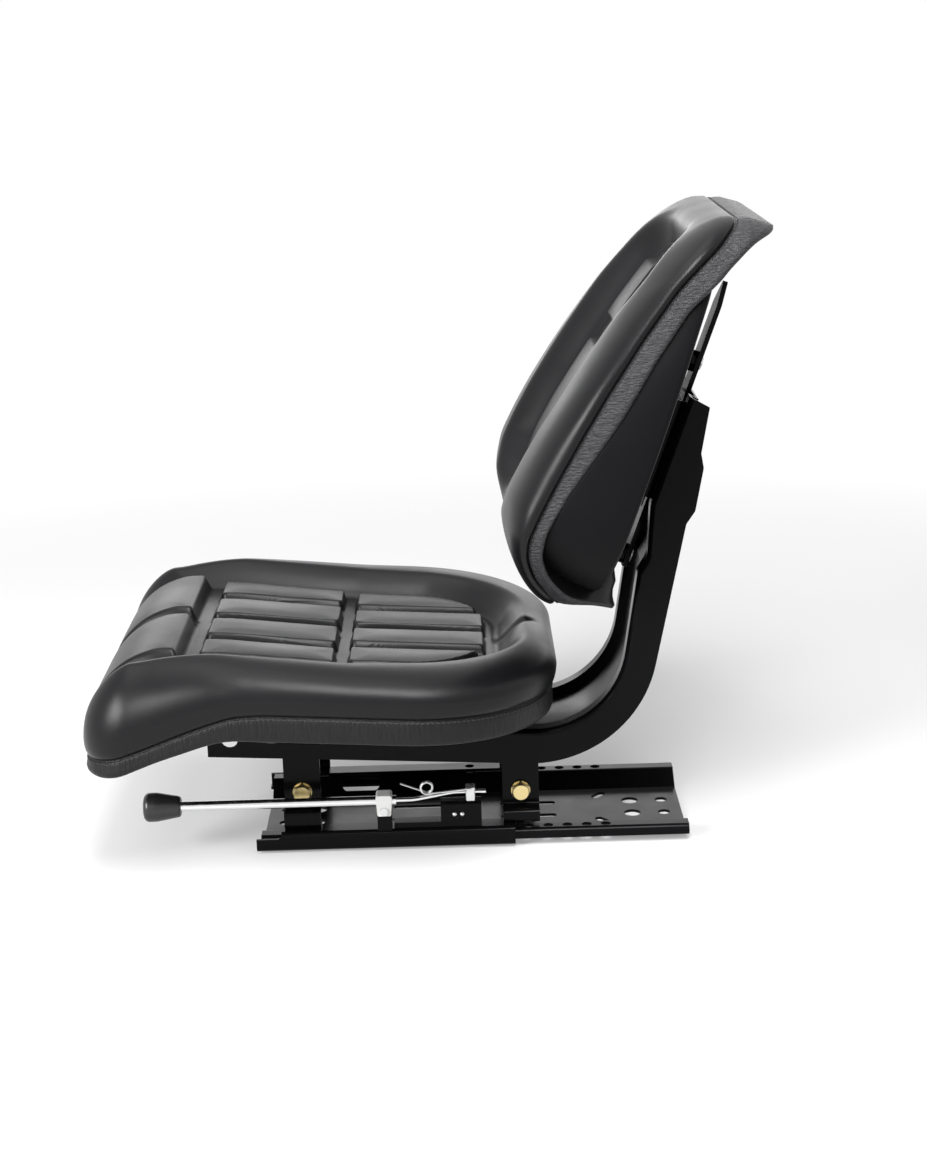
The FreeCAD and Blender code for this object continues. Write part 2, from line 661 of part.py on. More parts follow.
def make_seat_frame():
    """J-shaped pressed channel: flat under the cushion, curved up behind it, raised rims each side."""
    made = body("seat_frame")
    rim_line, edge_line = frame_paths()
    sheet_wall = size("frame_sheet")
    pad(made, "YZ", [rim_line + edge_line[::-1]], "Sizes.frame_width", both=True)
    fillet(made, size("frame_round"), lambda edge: on_rim(edge, rim_line))
    under_panel = moved_path(rim_line, RECESS + sheet_wall)
    under_rim = moved_path(rim_line, sheet_wall)
    panel = moved_path(rim_line, RECESS)
    above = moved_path(rim_line, -25)
    far_edge = moved_path(edge_line, 30)
    stretch = 4
    pocket(made, "YZ", [longer(under_panel, stretch) + longer(far_edge, stretch)[::-1]],
           "Sizes.frame_width - 2 * Sizes.frame_sheet")
    rim_width = "Sizes.frame_rim - 2 * Sizes.frame_sheet"
    loop = [longer(under_rim, stretch) + longer(under_panel, stretch)[::-1]]
    pocket(made, "YZ", loop, rim_width, height=FRAME_IN, both=False)
    pocket(made, "YZ", loop, rim_width, height=-FRAME_IN, both=False, reverse=True)
    pocket(made, "YZ", [longer(above, stretch) + longer(panel, stretch)[::-1]],
           "Sizes.frame_width - 2 * Sizes.frame_rim")
    hole_place = size("frame_front") + size("frame_hole_in")
    pocket(made, "YZ", [circle(hole_place, flange_low(hole_place) + size("frame_hole_up"), size("frame_hole"))])
    bolt_hole = size("clamp_bolt") + PLAY
    on_back = FreeCAD.Placement(V(0, size("back_height"), -size("back_place")),
                                FreeCAD.Rotation(V(1, 0, 0), -size("back_tilt")))
    pocket(made, "XZ", [circle(0, size("clamp_low"), bolt_hole), circle(0, size("clamp_high"), bolt_hole)],
           height=on_back)
    pocket(made, "XY", [circle(x, y, size("screw_radius") + PLAY) for x, y in cushion_bolt_places()])
    return made


def cushion_bolt_places():
    """(X, Y) of the bolts that hold the seat pan on the frame's rims."""
    rim = FRAME_HALF - size("frame_rim") / 2
    ends = (size("cushion_bolt_front"), size("cushion_bolt_rear"))
    return [(side * rim, y) for side in (LEFT, RIGHT) for y in ends]


def longer(line, extra):
    """Path with both ends moved outwards along itself."""
    (ay, az, ar), (by, bz, br) = line[0], line[1]
    (cy, cz, cr), (dy, dz, dr) = line[-2], line[-1]
    start = V(ay - by, az - bz, 0).normalize() * extra
    end = V(dy - cy, dz - cz, 0).normalize() * extra
    return [(ay + start.x, az + start.y, 0)] + line[1:-1] + [(dy + end.x, dz + end.y, 0)]


def on_rim(edge, rim_line):
    """True for the long outer edges of the frame's rims."""
    low = edge.BoundBox
    flat = abs(abs(low.XMin) - FRAME_HALF) < 0.01 and low.XLength < 0.01
    if not flat or edge.Length < 3:
        return False
    middle = edge.valueAt((edge.FirstParameter + edge.LastParameter) / 2)
    outline = Part.Wire([item.toShape() for item in rounded(rim_line + [(-400, 600, 0)])])
    return outline.distToShape(Part.Vertex(V(middle.y, middle.z, 0)))[0] < 0.05


def seat_outline(side=0, nose=0):
    """Plan outline of the seat cushion: square front corners, wide round rear."""
    half = size("cushion_width") / 2 - side
    front = -size("cushion_front") + nose
    rear = size("cushion_rear") - side * size("recess_rear") / 2 / (size("bolster_width") - size("recess_slope"))
    taper = size("cushion_taper")
    corner = size("cushion_corner")
    turn = size("cushion_round") - side
    return [(-half + taper, front, corner), (half - taper, front, corner), (half, rear, turn), (-half, rear, turn)]


def loft(owner, outlines, heights, subtract=False, plane="XY"):
    """A loft through parallel outlines of the body, added or cut out."""
    kind = "PartDesign::SubtractiveLoft" if subtract else "PartDesign::AdditiveLoft"
    sections = [sketch(owner, plane, [outline], height) for outline, height in zip(outlines, heights)]
    made = owner.newObject(kind, owner.Name + "_loft")
    made.Profile = sections[0]
    made.Sections = sections[1:]
    made.Ruled = True
    doc.recompute()
    return made


def make_seat_pan():
    """Pressed steel pan between the frame's rims and the cushion."""
    made = body("seat_pan", size("seat_tilt"), SEAT_PLACE)
    wall = size("pan_sheet")
    rise = size("cushion_low") - GAP
    half = size("pan_width") / 2
    front = -size("cushion_front") + size("pan_front")
    rear = size("cushion_rear") - size("pan_rear")
    corner = size("pan_corner")
    foot = (-half + size("pan_side_slope"), front + size("pan_front_slope"),
            half - size("pan_side_slope"), rear - size("pan_rear_slope"))
    low_box = box(*foot, corner)
    top_box = box(-half, front, half, rear, corner)
    low_inner = box(foot[0] + wall, foot[1] + wall, foot[2] - wall, foot[3] - wall, corner - wall)
    top_inner = box(-half + wall, front + wall, half - wall, rear - wall, corner - wall)
    loft(made, [low_box, top_box], [0, rise])
    loft(made, [low_inner, top_inner], [wall, rise + wall], subtract=True)
    pocket(made, "XY", [circle(x, y / math.cos(SLOPE), size("screw_radius") + PLAY)
                        for x, y in cushion_bolt_places()])
    return made


def around(corners, reach=700):
    """Everything outside an outline, as two outlines for one cut."""
    return [box(-reach, -reach, reach, reach), corners]


def make_seat_cushion():
    """Moulded foam cushion in a sewn cover: side bolsters, recessed middle, ribs and front pads."""
    made = body("seat_cushion", size("seat_tilt"), SEAT_PLACE)
    low = size("cushion_low")
    seam = size("cushion_seam")
    high = size("cushion_high")
    drop = low - size("cushion_droop")
    outlines = [seat_outline(), seat_outline()]
    heights = [drop - 1, low + 11]
    for rise, side, nose in SEAT_SWELL:
        outlines.append(seat_outline(side * size("bolster_width"), nose * size("cushion_nose")))
        heights.append(seam + (high - seam) * rise)
    loft(made, outlines, heights)
    cut_seat_underside(made, low, drop)
    add_seat_middle(made, high, drop)
    return made


def cut_seat_underside(made, low, drop):
    """Shape the skirt's lower edge and make room for the pan."""
    front = -size("cushion_front")
    rear = size("cushion_rear") + 1
    skirt = [
        (rear, low, 0),
        (size("cushion_bend"), low, size("skirt_bend")),
        (front + size("skirt_front"), drop + 3, size("skirt_bend")),
        (front - 1, drop, 0),
        (front - 1, drop - 2, 0),
        (rear, drop - 2, 0),
    ]
    pocket(made, "YZ", [skirt])
    room = size("pan_room")
    side = size("pan_width") / 2 + room
    fore = front + size("pan_front") - room
    corner = size("pan_corner") + room
    level = size("cushion_bend") + 38
    under = [(-side, fore, corner), (side, fore, corner), (side, level, 0), (-side, level, 0)]
    pocket(made, "XY", [under], "Sizes.cushion_droop + 1", height=low, both=False)


def add_seat_middle(made, high, drop):
    """Recess between the bolsters, with two rows of ribs and the front pads."""
    front = -size("cushion_front")
    half = size("cushion_width") / 2 - size("bolster_width")
    floor = high - size("recess_depth")
    groove = front + size("pad_length")
    end = size("cushion_rear") - size("recess_rear")
    slope = size("recess_slope")
    turn = size("recess_corner")
    corner = size("rib_corner")
    well = [(-half, groove, corner), (half, groove, corner), (half, end, turn), (-half, end, turn)]
    mouth = [(-half - slope, groove, corner), (half + slope, groove, corner),
             (half + slope, end + slope, turn + slope), (-half - slope, end + slope, turn + slope)]
    loft(made, [well, mouth], [floor, high + 1], subtract=True)
    for top, nose, width in (
            (high - size("pad_drop"), front + 3, "Sizes.cushion_width - 2 * Sizes.bolster_width"),
            (high - size("pad_drop") - size("pad_crease"), front + 3 + size("pad_crease"), "Sizes.pad_split")):
        cut = [
            (groove + 1, top, 0),
            (nose, top, size("cushion_nose") - 3),
            (nose, drop - 5, 0),
            (front - 9, drop - 5, 0),
            (front - 9, high + 9, 0),
            (groove + 1, high + 9, 0),
        ]
        pocket(made, "YZ", [cut], width)
    rib_half = (size("rib_pitch") - size("rib_groove")) / 2
    first = groove + size("rib_start")
    second = first + size("rib_length") + size("rib_gap")
    ribs = []
    for number in range(4):
        middle = (number - 1.5) * size("rib_pitch")
        stop = end - corner - (turn / 2 if number in (0, 3) else 0)
        for start, last in ((first, first + size("rib_length")), (second, stop)):
            ribs.append(box(middle - rib_half, start, middle + rib_half, last, corner))
    pad(made, "XY", ribs, "Sizes.rib_height", height=floor)


def back_plane(across, extra=0):
    """Place of a sketch that lies along the back cushion's sloping front."""
    slope = math.radians(size("back_slope"))
    turn = FreeCAD.Rotation(V(1, 0, 0), -size("back_slope") - extra)
    return FreeCAD.Placement(V(0, across * math.sin(slope), across * math.cos(slope)), turn)


def back_outline(side, low, top):
    """Front-view outline of the back: widest above its foot, narrower and rounded at its top."""
    half = size("back_width") / 2 - side
    share = (top - low) / (size("back_top") + size("back_low"))
    taper = size("back_taper") * share
    widest = low + (top - low) * size("back_widest")
    bow = 4 * size("back_bolster") * share
    lower = size("back_corner") - side
    upper = size("back_round") - side * 0.8
    return [
        (-half + 4, low, lower),
        (half - 4, low, lower),
        (half, widest, bow),
        (half - taper, top, upper),
        (-half + taper, top, upper),
        (-half, widest, bow),
    ]


def back_parting():
    """Side-view line of the back cushion's rear face where it lies on the shell, from its foot up."""
    return [(-58, -size("shell_low"), 0), (-84, 44, 40), (-50, 172, 300), (-16, size("shell_top"), 0)]


def make_back_cushion():
    """Backrest cushion: bulging bolster all round, deeper at its foot, with a recessed ribbed middle."""
    made = body("back_cushion", size("back_tilt"), BACK_PLACE)
    front = size("back_front")
    low = -size("back_low")
    top = size("back_top")
    outlines = [back_outline(0, low + 6, top), back_outline(0, low, top)]
    places = [back_plane(0), back_plane(front / 2)]
    for behind, side, foot, drop in BACK_SWELL:
        outlines.append(back_outline(side, low + foot, top - drop))
        places.append(back_plane(front - behind))
    loft(made, outlines, places, plane="XZ")
    under = -size("shell_low") - 7
    rear_cut = [
        (-15, -100, 0),
        (-15, under, 3),
        (-58, under, 3),
    ] + back_parting() + [
        (12, 343, 24),
        (28, 352, 3),
        (31, 364, 3),
        (31, 450, 0),
        (150, 450, 0),
        (150, -100, 0),
    ]
    pocket(made, "YZ", [rear_cut])
    add_back_middle(made)
    return made


def make_back_shell():
    """Moulded shell that closes the back of the cushion."""
    made = body("back_shell", size("back_tilt"), BACK_PLACE)
    rear = size("shell_rear")
    low = -size("shell_low")
    top = size("shell_top")
    side_view = [(rear, low, 0), (rear, top, 0)] + back_parting()[::-1]
    pad(made, "YZ", [side_view], "Sizes.back_width", both=True)
    inset = size("shell_inset")
    pocket(made, "XZ", around(back_outline(inset, low, size("back_top") + 6)))
    fillet(made, size("shell_round"), lambda edge: edge.BoundBox.YMin > rear - 0.01)
    return made


def add_back_middle(made):
    """Recess the middle of the back cushion and raise its ribs."""
    half = size("back_width") / 2 - size("back_bolster")
    low = size("recess_low")
    high = size("recess_high")
    slope = size("recess_slope")
    corner = size("rib_corner")
    lean = size("recess_lean")
    floor = size("back_front") - size("back_recess") + low * math.tan(math.radians(lean))
    well = box(-half, low, half, high, 3 * corner)
    mouth = box(-half - slope, low - slope, half + slope, high + slope, 3 * corner + slope)
    deep = back_plane(floor, lean)
    shallow = back_plane(floor + size("back_recess") + corner, lean)
    loft(made, [well, mouth], [deep, shallow], subtract=True, plane="XZ")
    pitch = size("back_rib_pitch")
    rib_half = (pitch - size("rib_groove")) / 2
    first = low + size("rib_groove")
    second = first + size("back_rib_length") + size("rib_gap")
    ribs = []
    for number in range(4):
        middle = (number - 1.5) * pitch
        for start, last in ((first, first + size("back_rib_length")), (second, high - size("rib_groove"))):
            ribs.append(box(middle - rib_half, start, middle + rib_half, last, corner))
    pad(made, "XZ", ribs, "Sizes.rib_height", height=deep)


def in_back_axes(name):
    """A body that stands in the leaned back's own axes."""
    return body(name, size("back_tilt"), BACK_PLACE)


def make_back_strap():
    """Flat bar with a long slot and a pointed tip, which carries the back and slides in the frame's top."""
    made = in_back_axes("back_strap")
    half = size("strap_width") / 2
    low = size("strap_foot")
    top = size("strap_top")
    shoulder = top - size("strap_point")
    bar = [(-half, low, 3), (half, low, 3), (half, shoulder, 8), (0, top, 3), (-half, shoulder, 8)]
    rear = size("strap_place") + size("strap_sheet")
    pad(made, "XZ", [bar], "Sizes.strap_sheet", height=-rear)
    radius = size("clamp_bolt") + 0.5
    slot_low = size("clamp_low") - size("back_travel") - radius
    slot_high = size("clamp_high") + radius
    slot = [(-radius, slot_low, radius * 0.999), (radius, slot_low, radius * 0.999),
            (radius, slot_high, radius * 0.999), (-radius, slot_high, radius * 0.999)]
    holes = [circle(0, place, size("clamp_bolt") + PLAY) for place in (size("spacer_low"), size("spacer_high"))]
    pocket(made, "XZ", [slot] + holes)


def back_solid(shape):
    """Shape drawn in the back's axes, moved to its place."""
    shape.Placement = FreeCAD.Placement(V(*BACK_PLACE), FreeCAD.Rotation(V(1, 0, 0), -size("back_tilt")))
    return shape


def make_back_spacers():
    """Tubes that hold the strap off the shell, with the bolts through them."""
    shell = size("shell_rear")
    strap = size("strap_place")
    behind = strap + size("strap_sheet")
    shank = size("clamp_bolt")
    backwards = V(0, 1, 0)
    tubes, bolts = [], []
    for place in (size("spacer_low"), size("spacer_high")):
        tube = rod(size("spacer_radius"), V(0, shell, place), V(0, strap, place))
        bore = rod(shank, V(0, shell, place), V(0, strap, place))
        tubes.append(tube.cut(bore))
        head = prism(hexagon(size("screw_flats")), V(0, behind, place), backwards, size("back_screw_head"))
        bolts.append(head.fuse(rod(shank, V(0, shell, place), V(0, behind, place))).removeSplitter())
    solids("back_spacers", tubes).Placement = back_solid(tubes[0].copy()).Placement
    solids("back_bolts", bolts).Placement = back_solid(bolts[0].copy()).Placement


def make_clamp_plate():
    """Channel in the panel's recess that traps the strap, its flanges turned to the back."""
    made = in_back_axes("clamp_plate")
    thick = size("clamp_sheet")
    half = (size("clamp_width") - thick) / 2
    web = size("strap_place") - GAP - thick / 2
    edge = web + thick / 2 - size("clamp_flange")
    high = (size("clamp_low") + size("clamp_high") + size("clamp_length")) / 2 - 12
    path = [(-half, edge), (-half, web), (half, web), (half, edge)]
    pad(made, "XY", [strip(path, thick, size("bend"))], "Sizes.clamp_length", height=high, reverse=True)
    pocket(made, "XZ", [circle(0, place, size("clamp_bolt") + PLAY)
                        for place in (size("clamp_low"), size("clamp_high"))])


def make_clamp_fasteners():
    """Bolts through the clamp plate, the strap's slot and the frame's panel, with their nuts behind."""
    front = size("strap_place") - GAP - size("clamp_sheet")
    behind = RIM_BEHIND + RECESS + size("frame_sheet")
    shank = size("clamp_bolt")
    bolts, nuts = [], []
    for place in (size("clamp_low"), size("clamp_high")):
        head = prism(hexagon(size("screw_flats")), V(0, front, place), V(0, -1, 0), size("screw_head"))
        end = V(0, behind + size("clamp_nut") + 2, place)
        bolts.append(head.fuse(rod(shank, V(0, front, place), end)).removeSplitter())
        block = prism(hexagon(size("screw_flats")), V(0, behind, place), V(0, 1, 0), size("clamp_nut"))
        nuts.append(block.cut(rod(shank, V(0, front, place), end)))
    axes = back_solid(bolts[0].copy()).Placement
    solids("clamp_bolts", bolts).Placement = axes
    solids("clamp_nuts", nuts).Placement = axes


def make_cushion_fasteners():
    """Bolts up through the frame's rims into nuts inside the seat pan."""
    shank = size("screw_radius")
    under = -size("frame_sheet")
    wall = size("pan_sheet")
    bolts, nuts = [], []
    for x, y in cushion_bolt_places():
        y = y / math.cos(SLOPE)
        head = prism(hexagon(size("screw_flats"), 30), V(x, y, under), V(0, 0, -1), size("screw_head"))
        end = V(x, y, wall + size("clamp_nut") + 2)
        bolts.append(head.fuse(rod(shank, V(x, y, under), end)).removeSplitter())
        block = prism(hexagon(size("screw_flats"), 30), V(x, y, wall), V(0, 0, 1), size("clamp_nut"))
        nuts.append(block.cut(rod(shank, V(x, y, under), end)))
    axes = FreeCAD.Placement(V(*SEAT_PLACE), FreeCAD.Rotation(V(1, 0, 0), -size("seat_tilt")))
    solids("cushion_bolts", bolts).Placement = axes
    solids("cushion_nuts", nuts).Placement = axes


def wire_rod(points, bends, radius):
    """Round wire through points, with a tangent arc of its own radius at each inner point."""
    edges = []
    last = points[0]
    for before, here, after, bend in zip(points, points[1:], points[2:], bends):
        back = (before - here).normalize()
        ahead = (after - here).normalize()
        half = back.getAngle(ahead) / 2
        reach = bend / math.tan(half)
        middle = (back + ahead).normalize() * (bend / math.sin(half) - bend)
        edges.append(Part.LineSegment(last, here + back * reach).toShape())
        last = here + ahead * reach
        edges.append(Part.Arc(here + back * reach, here + middle, last).toShape())
    edges.append(Part.LineSegment(last, points[-1]).toShape())
    path = Part.Wire(edges)
    section = Part.Wire([Part.makeCircle(radius, points[0], points[1] - points[0])])
    return path.makePipeShell([section], True, True)


def make_lever():
    """Chromed rod with its thinner tail, the knob and the plastic block that pivots on the post."""
    x = size("lever_side")
    z = size("lever_height")
    block_rear = size("pivot_place") + size("block_length") / 2
    front = V(x, size("lever_front"), z)
    rear = V(x, block_rear + 4, z)
    thick = rod(size("lever_radius"), front, rear)
    tail = wire_rod([V(x, block_rear, z), V(x, block_rear + 22, z), V(size("lock_row"), size("lock_place") - 18, z + 2),
                     V(size("lock_row"), size("lock_place") + 16, z + 2)], [40, 40], size("lever_tail"))
    solids("lever_rod", [thick.fuse(tail).removeSplitter()])

    knob_front = size("lever_front") - 8
    mouth = V(x, knob_front + size("knob_length"), z)
    knob = body("lever_knob", 0, (x, 0, z))
    profile = [
        (0, knob_front, 0),
        (size("knob_radius"), knob_front, 6),
        (size("knob_radius"), knob_front + size("knob_length") * 0.35, 20),
        (size("knob_neck"), knob_front + size("knob_length"), 3),
        (size("lever_radius"), knob_front + size("knob_length"), 0),
        (size("lever_radius"), size("lever_front"), 0),
        (0, size("lever_front"), 0),
    ]
    turned_knob = knob.newObject("PartDesign::Revolution", "lever_knob_turned")
    turned_knob.Profile = sketch(knob, "XY", [profile])
    turned_knob.ReferenceAxis = (turned_knob.Profile[0], ["V_Axis"])
    turned_knob.Angle = 360

    block = body("lever_block")
    half_top = size("block_length") / 2
    place = size("pivot_place")
    outline = [
        (place - half_top + 1.5, size("block_low"), 2),
        (place + half_top - 1.5, size("block_low"), 2),
        (place + half_top, size("block_top"), 2.5),
        (place - half_top, size("block_top"), 2.5),
    ]
    pad(block, "YZ", [outline], "Sizes.block_width", height=x - size("block_width") / 2)
    pocket(block, "XZ", [circle(x, z, size("lever_radius"))])
    pocket(block, "YZ", [circle(place, size("pivot_height"), size("pivot_radius") + 0.05)])


def make_lever_post():
    """Bent post on the rail that carries the lever's pivot pin."""
    made = body("lever_post")
    x = size("lever_side")
    thick = size("rail_sheet")
    inner = x - size("block_width") / 2 - GAP - thick
    foot_top = size("block_low") - 2
    place = size("pivot_place")
    half = size("block_length") / 2 - 1
    outline = [
        (inner, RAIL_TOP, 0),
        (RAIL_OUT, RAIL_TOP, 0),
        (RAIL_OUT, foot_top, 3),
        (inner + thick, foot_top, 1),
        (inner + thick, size("pivot_height") + 9, 0),
        (inner, size("pivot_height") + 9, 2),
    ]
    pad(made, "XZ", [outline], "Sizes.block_length - 2", height=-place, both=True)
    pocket(made, "YZ", [circle(place, size("pivot_height"), size("pivot_radius"))])
    outer = x + size("block_width") / 2
    pin = rod(size("pivot_radius"), V(inner, place, size("pivot_height")),
              V(outer + GAP, place, size("pivot_height")))
    cap = rod(size("pivot_radius") + 1.8, V(outer + GAP, place, size("pivot_height")),
              V(outer + GAP + 1.6, place, size("pivot_height")))
    solids("lever_pivot_pin", [pin.fuse(cap).removeSplitter()])


def make_latch():
    """Folded housing on the rail, its rivets, the lock pin that it guides and the bar in front of it."""
    x = size("lock_row")
    y = size("lock_place")
    thick = size("latch_sheet")
    half = size("latch_width") / 2
    top = size("latch_top")
    made = body("latch_housing")
    path = [(x - half + thick / 2, RAIL_TOP), (x - half + thick / 2, top - thick / 2),
            (x + half - thick / 2, top - thick / 2), (x + half - thick / 2, RAIL_TOP)]
    pad(made, "XZ", [strip(path, thick, 1.5)], "Sizes.latch_length",
        height=-size("latch_front"), reverse=True)
    pocket(made, "XY", [circle(x, y, size("pin_radius") + 0.1)])
    rivet_places = [(size("latch_front") + 14, 37), (size("latch_front") + 22, 37)]
    pocket(made, "YZ", [circle(ry, rz, 1.6) for ry, rz in rivet_places],
           "Sizes.latch_width", height=x + half + 1, both=False)
    rivets = []
    for ry, rz in rivet_places:
        shank = rod(1.6, V(x + half - thick, ry, rz), V(x + half, ry, rz))
        dome = Part.makeSphere(2.7, V(x + half - 0.9, ry, rz), V(1, 0, 0), 0, 90, 360)
        dome = dome.common(Part.makeBox(5, 12, 12, V(x + half, ry - 6, rz - 6)))
        rivets.append(shank.fuse(dome).removeSplitter())
    solids("latch_rivets", rivets)

    eye = size("lever_height") + 2
    head_low = top + GAP
    pin = rod(size("pin_radius"), V(x, y, size("pin_tip")), V(x, y, head_low + 2))
    head = Part.makeBox(13, 10, 14, V(x - 6.5, y - 5, head_low))
    head = head.makeFillet(2, [edge for edge in head.Edges if edge.BoundBox.ZLength > 10])
    hole = rod(size("lever_tail") + 1.3, V(x, y - 20, eye), V(x, y + 20, eye))
    tip = [edge for edge in pin.Edges if edge.BoundBox.ZMax < size("pin_tip") + 0.1]
    solids("lock_pin", [pin.makeChamfer(1.2, tip).fuse(head).cut(hole).removeSplitter()])

    guide = body("latch_guide_bar")
    start = size("pivot_place") + size("block_length") / 2 + 1
    pad(guide, "XY", [box(x - 6, start, x + half, size("latch_front"), 0)], "Sizes.guide_height",
        height=RAIL_TOP)


def make_lever_spring():
    """Torsion spring clipped on the lever's tail: one small coil with two straight legs."""
    wire = size("spring_wire")
    coil = size("spring_coil")
    x = size("lever_side") - 9
    y = size("pivot_place") + 44
    z = size("lever_height") + size("lever_tail") + coil + wire + 0.9
    rise = 2.4 * wire
    turns = Part.makeHelix(rise, 2.075 * rise, coil)
    start = turns.Edges[0].valueAt(turns.Edges[0].FirstParameter)
    along = turns.Edges[0].tangentAt(turns.Edges[0].FirstParameter)
    last = turns.Edges[-1]
    stop = last.valueAt(last.LastParameter)
    leave = last.tangentAt(last.LastParameter)
    front_end = start - along * 27
    path = Part.Wire([Part.LineSegment(front_end, start).toShape()] + turns.Edges
                     + [Part.LineSegment(stop, stop + leave * 46).toShape()])
    section = Part.Wire([Part.makeCircle(wire, front_end, along)])
    spring = solids("lever_spring", [path.makePipeShell([section], True, False)])
    sideways = FreeCAD.Rotation(V(0, 0, -1), V(0, 1, 0), V(1, 0, 0), "ZYX")
    spring.Placement = FreeCAD.Placement(V(x, y, z), FreeCAD.Rotation(V(1, 0, 0), -20).multiply(sideways))


def finish():
    """Check every object, then write each sub-part."""
    doc.recompute()
    for item in doc.Objects:
        if "Invalid" in item.State or "Error" in item.State:
            raise RuntimeError("%s is %s" % (item.Label, item.State))
    os.makedirs("parts", exist_ok=True)
    for item in parts:
        if item.Shape.isNull() or not item.Shape.isValid():
            raise RuntimeError("%s has no valid shape" % item.Label)
        item.Shape.exportStep("parts/%s.step" % item.Label)
        print(item.Label, len(item.Shape.Solids), round(item.Shape.Volume / 1000, 2), "cm3")


make_base_plate()
for side in (LEFT, RIGHT):
    make_slide_rail(side)
    make_glide(side, "front", size("rail_front") + size("rail_step") + size("glide_length"))
    make_glide(side, "rear", RAIL_REAR)
    for end in BRACKETS:
        make_slide_bracket(side, end)
        make_frame_lug(side, end)
make_bracket_fasteners()
make_seat_frame()
make_seat_pan()
make_seat_cushion()
make_back_cushion()
make_back_shell()
make_back_strap()
make_back_spacers()
make_clamp_plate()
make_clamp_fasteners()
make_cushion_fasteners()
make_lever()
make_lever_post()
make_latch()
make_lever_spring()
finish()
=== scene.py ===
"""Looks of a tractor seat: cushions, materials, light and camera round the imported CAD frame."""

import json
import math

import bpy
import numpy as np
from mathutils import Matrix, Quaternion, Vector


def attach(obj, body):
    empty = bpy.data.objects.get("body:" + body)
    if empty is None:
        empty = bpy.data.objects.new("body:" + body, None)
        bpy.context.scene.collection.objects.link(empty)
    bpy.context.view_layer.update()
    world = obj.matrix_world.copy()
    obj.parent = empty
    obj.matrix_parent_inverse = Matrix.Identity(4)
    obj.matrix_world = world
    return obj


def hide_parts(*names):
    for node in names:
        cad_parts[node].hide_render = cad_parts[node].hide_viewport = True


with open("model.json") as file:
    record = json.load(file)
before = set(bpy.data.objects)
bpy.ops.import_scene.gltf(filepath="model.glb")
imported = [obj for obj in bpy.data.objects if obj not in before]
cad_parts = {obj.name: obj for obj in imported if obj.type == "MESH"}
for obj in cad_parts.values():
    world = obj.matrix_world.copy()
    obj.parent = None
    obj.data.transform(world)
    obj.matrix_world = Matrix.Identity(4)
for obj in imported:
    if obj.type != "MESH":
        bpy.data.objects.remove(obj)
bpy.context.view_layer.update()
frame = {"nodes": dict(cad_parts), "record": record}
nodes = frame["nodes"]
scene = bpy.context.scene
MM = 0.001


def smooth(t):
    """Smooth step from 0 to 1."""
    t = np.clip(t, 0, 1)
    return t * t * (3 - 2 * t)


def lookup(value, table):
    """Smooth curve through (place, height) pairs."""
    samples, width = 400, 15
    places, heights = zip(*table)
    fine = np.linspace(places[0], places[-1], samples)
    curve = np.interp(fine, places, heights)
    padded = np.concatenate([np.full(width, curve[0]), curve, np.full(width, curve[-1])])
    curve = np.convolve(padded, np.ones(width) / width, "same")[width:-width]
    return np.interp(value, fine, curve)


def box_distance(x, y, x0, x1, y0, y1, radius):
    """Signed distance to a rounded rectangle, negative inside."""
    qx = np.abs(x - (x0 + x1) / 2) - (x1 - x0) / 2 + radius
    qy = np.abs(y - (y0 + y1) / 2) - (y1 - y0) / 2 + radius
    outside = np.hypot(np.maximum(qx, 0), np.maximum(qy, 0))
    return outside + np.minimum(np.maximum(qx, qy), 0) - radius


def unit(v):
    """Vector of length 1."""
    return v / np.linalg.norm(v)


def rounded_outline(corners, count):
    """Evenly spaced points round a polygon given by (x, y, corner radius), counter-clockwise."""
    arc_steps = 32
    points = []
    for number, (x, y, radius) in enumerate(corners):
        here = np.array((x, y), float)
        back = unit(np.array(corners[number - 1][:2], float) - here)
        ahead = unit(np.array(corners[(number + 1) % len(corners)][:2], float) - here)
        half = math.acos(np.clip(back @ ahead, -1, 1)) / 2
        middle = here + unit(back + ahead) * radius / math.sin(half)
        first = here + back * radius / math.tan(half) - middle
        last = here + ahead * radius / math.tan(half) - middle
        start = math.atan2(first[1], first[0])
        sweep = (math.atan2(last[1], last[0]) - start + math.pi) % (2 * math.pi) - math.pi
        for step in range(arc_steps + 1):
            turn = start + sweep * step / arc_steps
            points.append(middle + radius * np.array((math.cos(turn), math.sin(turn))))
    points = np.array(points)
    closed = np.vstack([points, points[:1]])
    lengths = np.r_[0, np.cumsum(np.hypot(*np.diff(closed, axis=0).T))]
    places = np.linspace(0, lengths[-1], count, endpoint=False)
    return np.c_[np.interp(places, lengths, closed[:, 0]), np.interp(places, lengths, closed[:, 1])]


def inward(outline):
    """Inward unit normals of a counter-clockwise outline, a little smoothed."""
    along = np.roll(outline, -1, 0) - np.roll(outline, 1, 0)
    normal = np.c_[-along[:, 1], along[:, 0]]
    for _ in range(4):
        normal = (np.roll(normal, 1, 0) + 2 * normal + np.roll(normal, -1, 0)) / 4
    return normal / np.hypot(*normal.T)[:, None]


def edge_distance(points, outline):
    """Distance from each point to the closed outline, worked out in batches to save memory."""
    batch = 4000
    first = outline
    step = np.roll(outline, -1, 0) - first
    square = (step ** 2).sum(1)
    result = np.empty(len(points))
    for start in range(0, len(points), batch):
        p = points[start:start + batch, None, :] - first[None]
        t = np.clip((p * step[None]).sum(2) / square[None], 0, 1)
        away = p - t[..., None] * step[None]
        result[start:start + batch] = np.sqrt((away ** 2).sum(2).min(1))
    return result


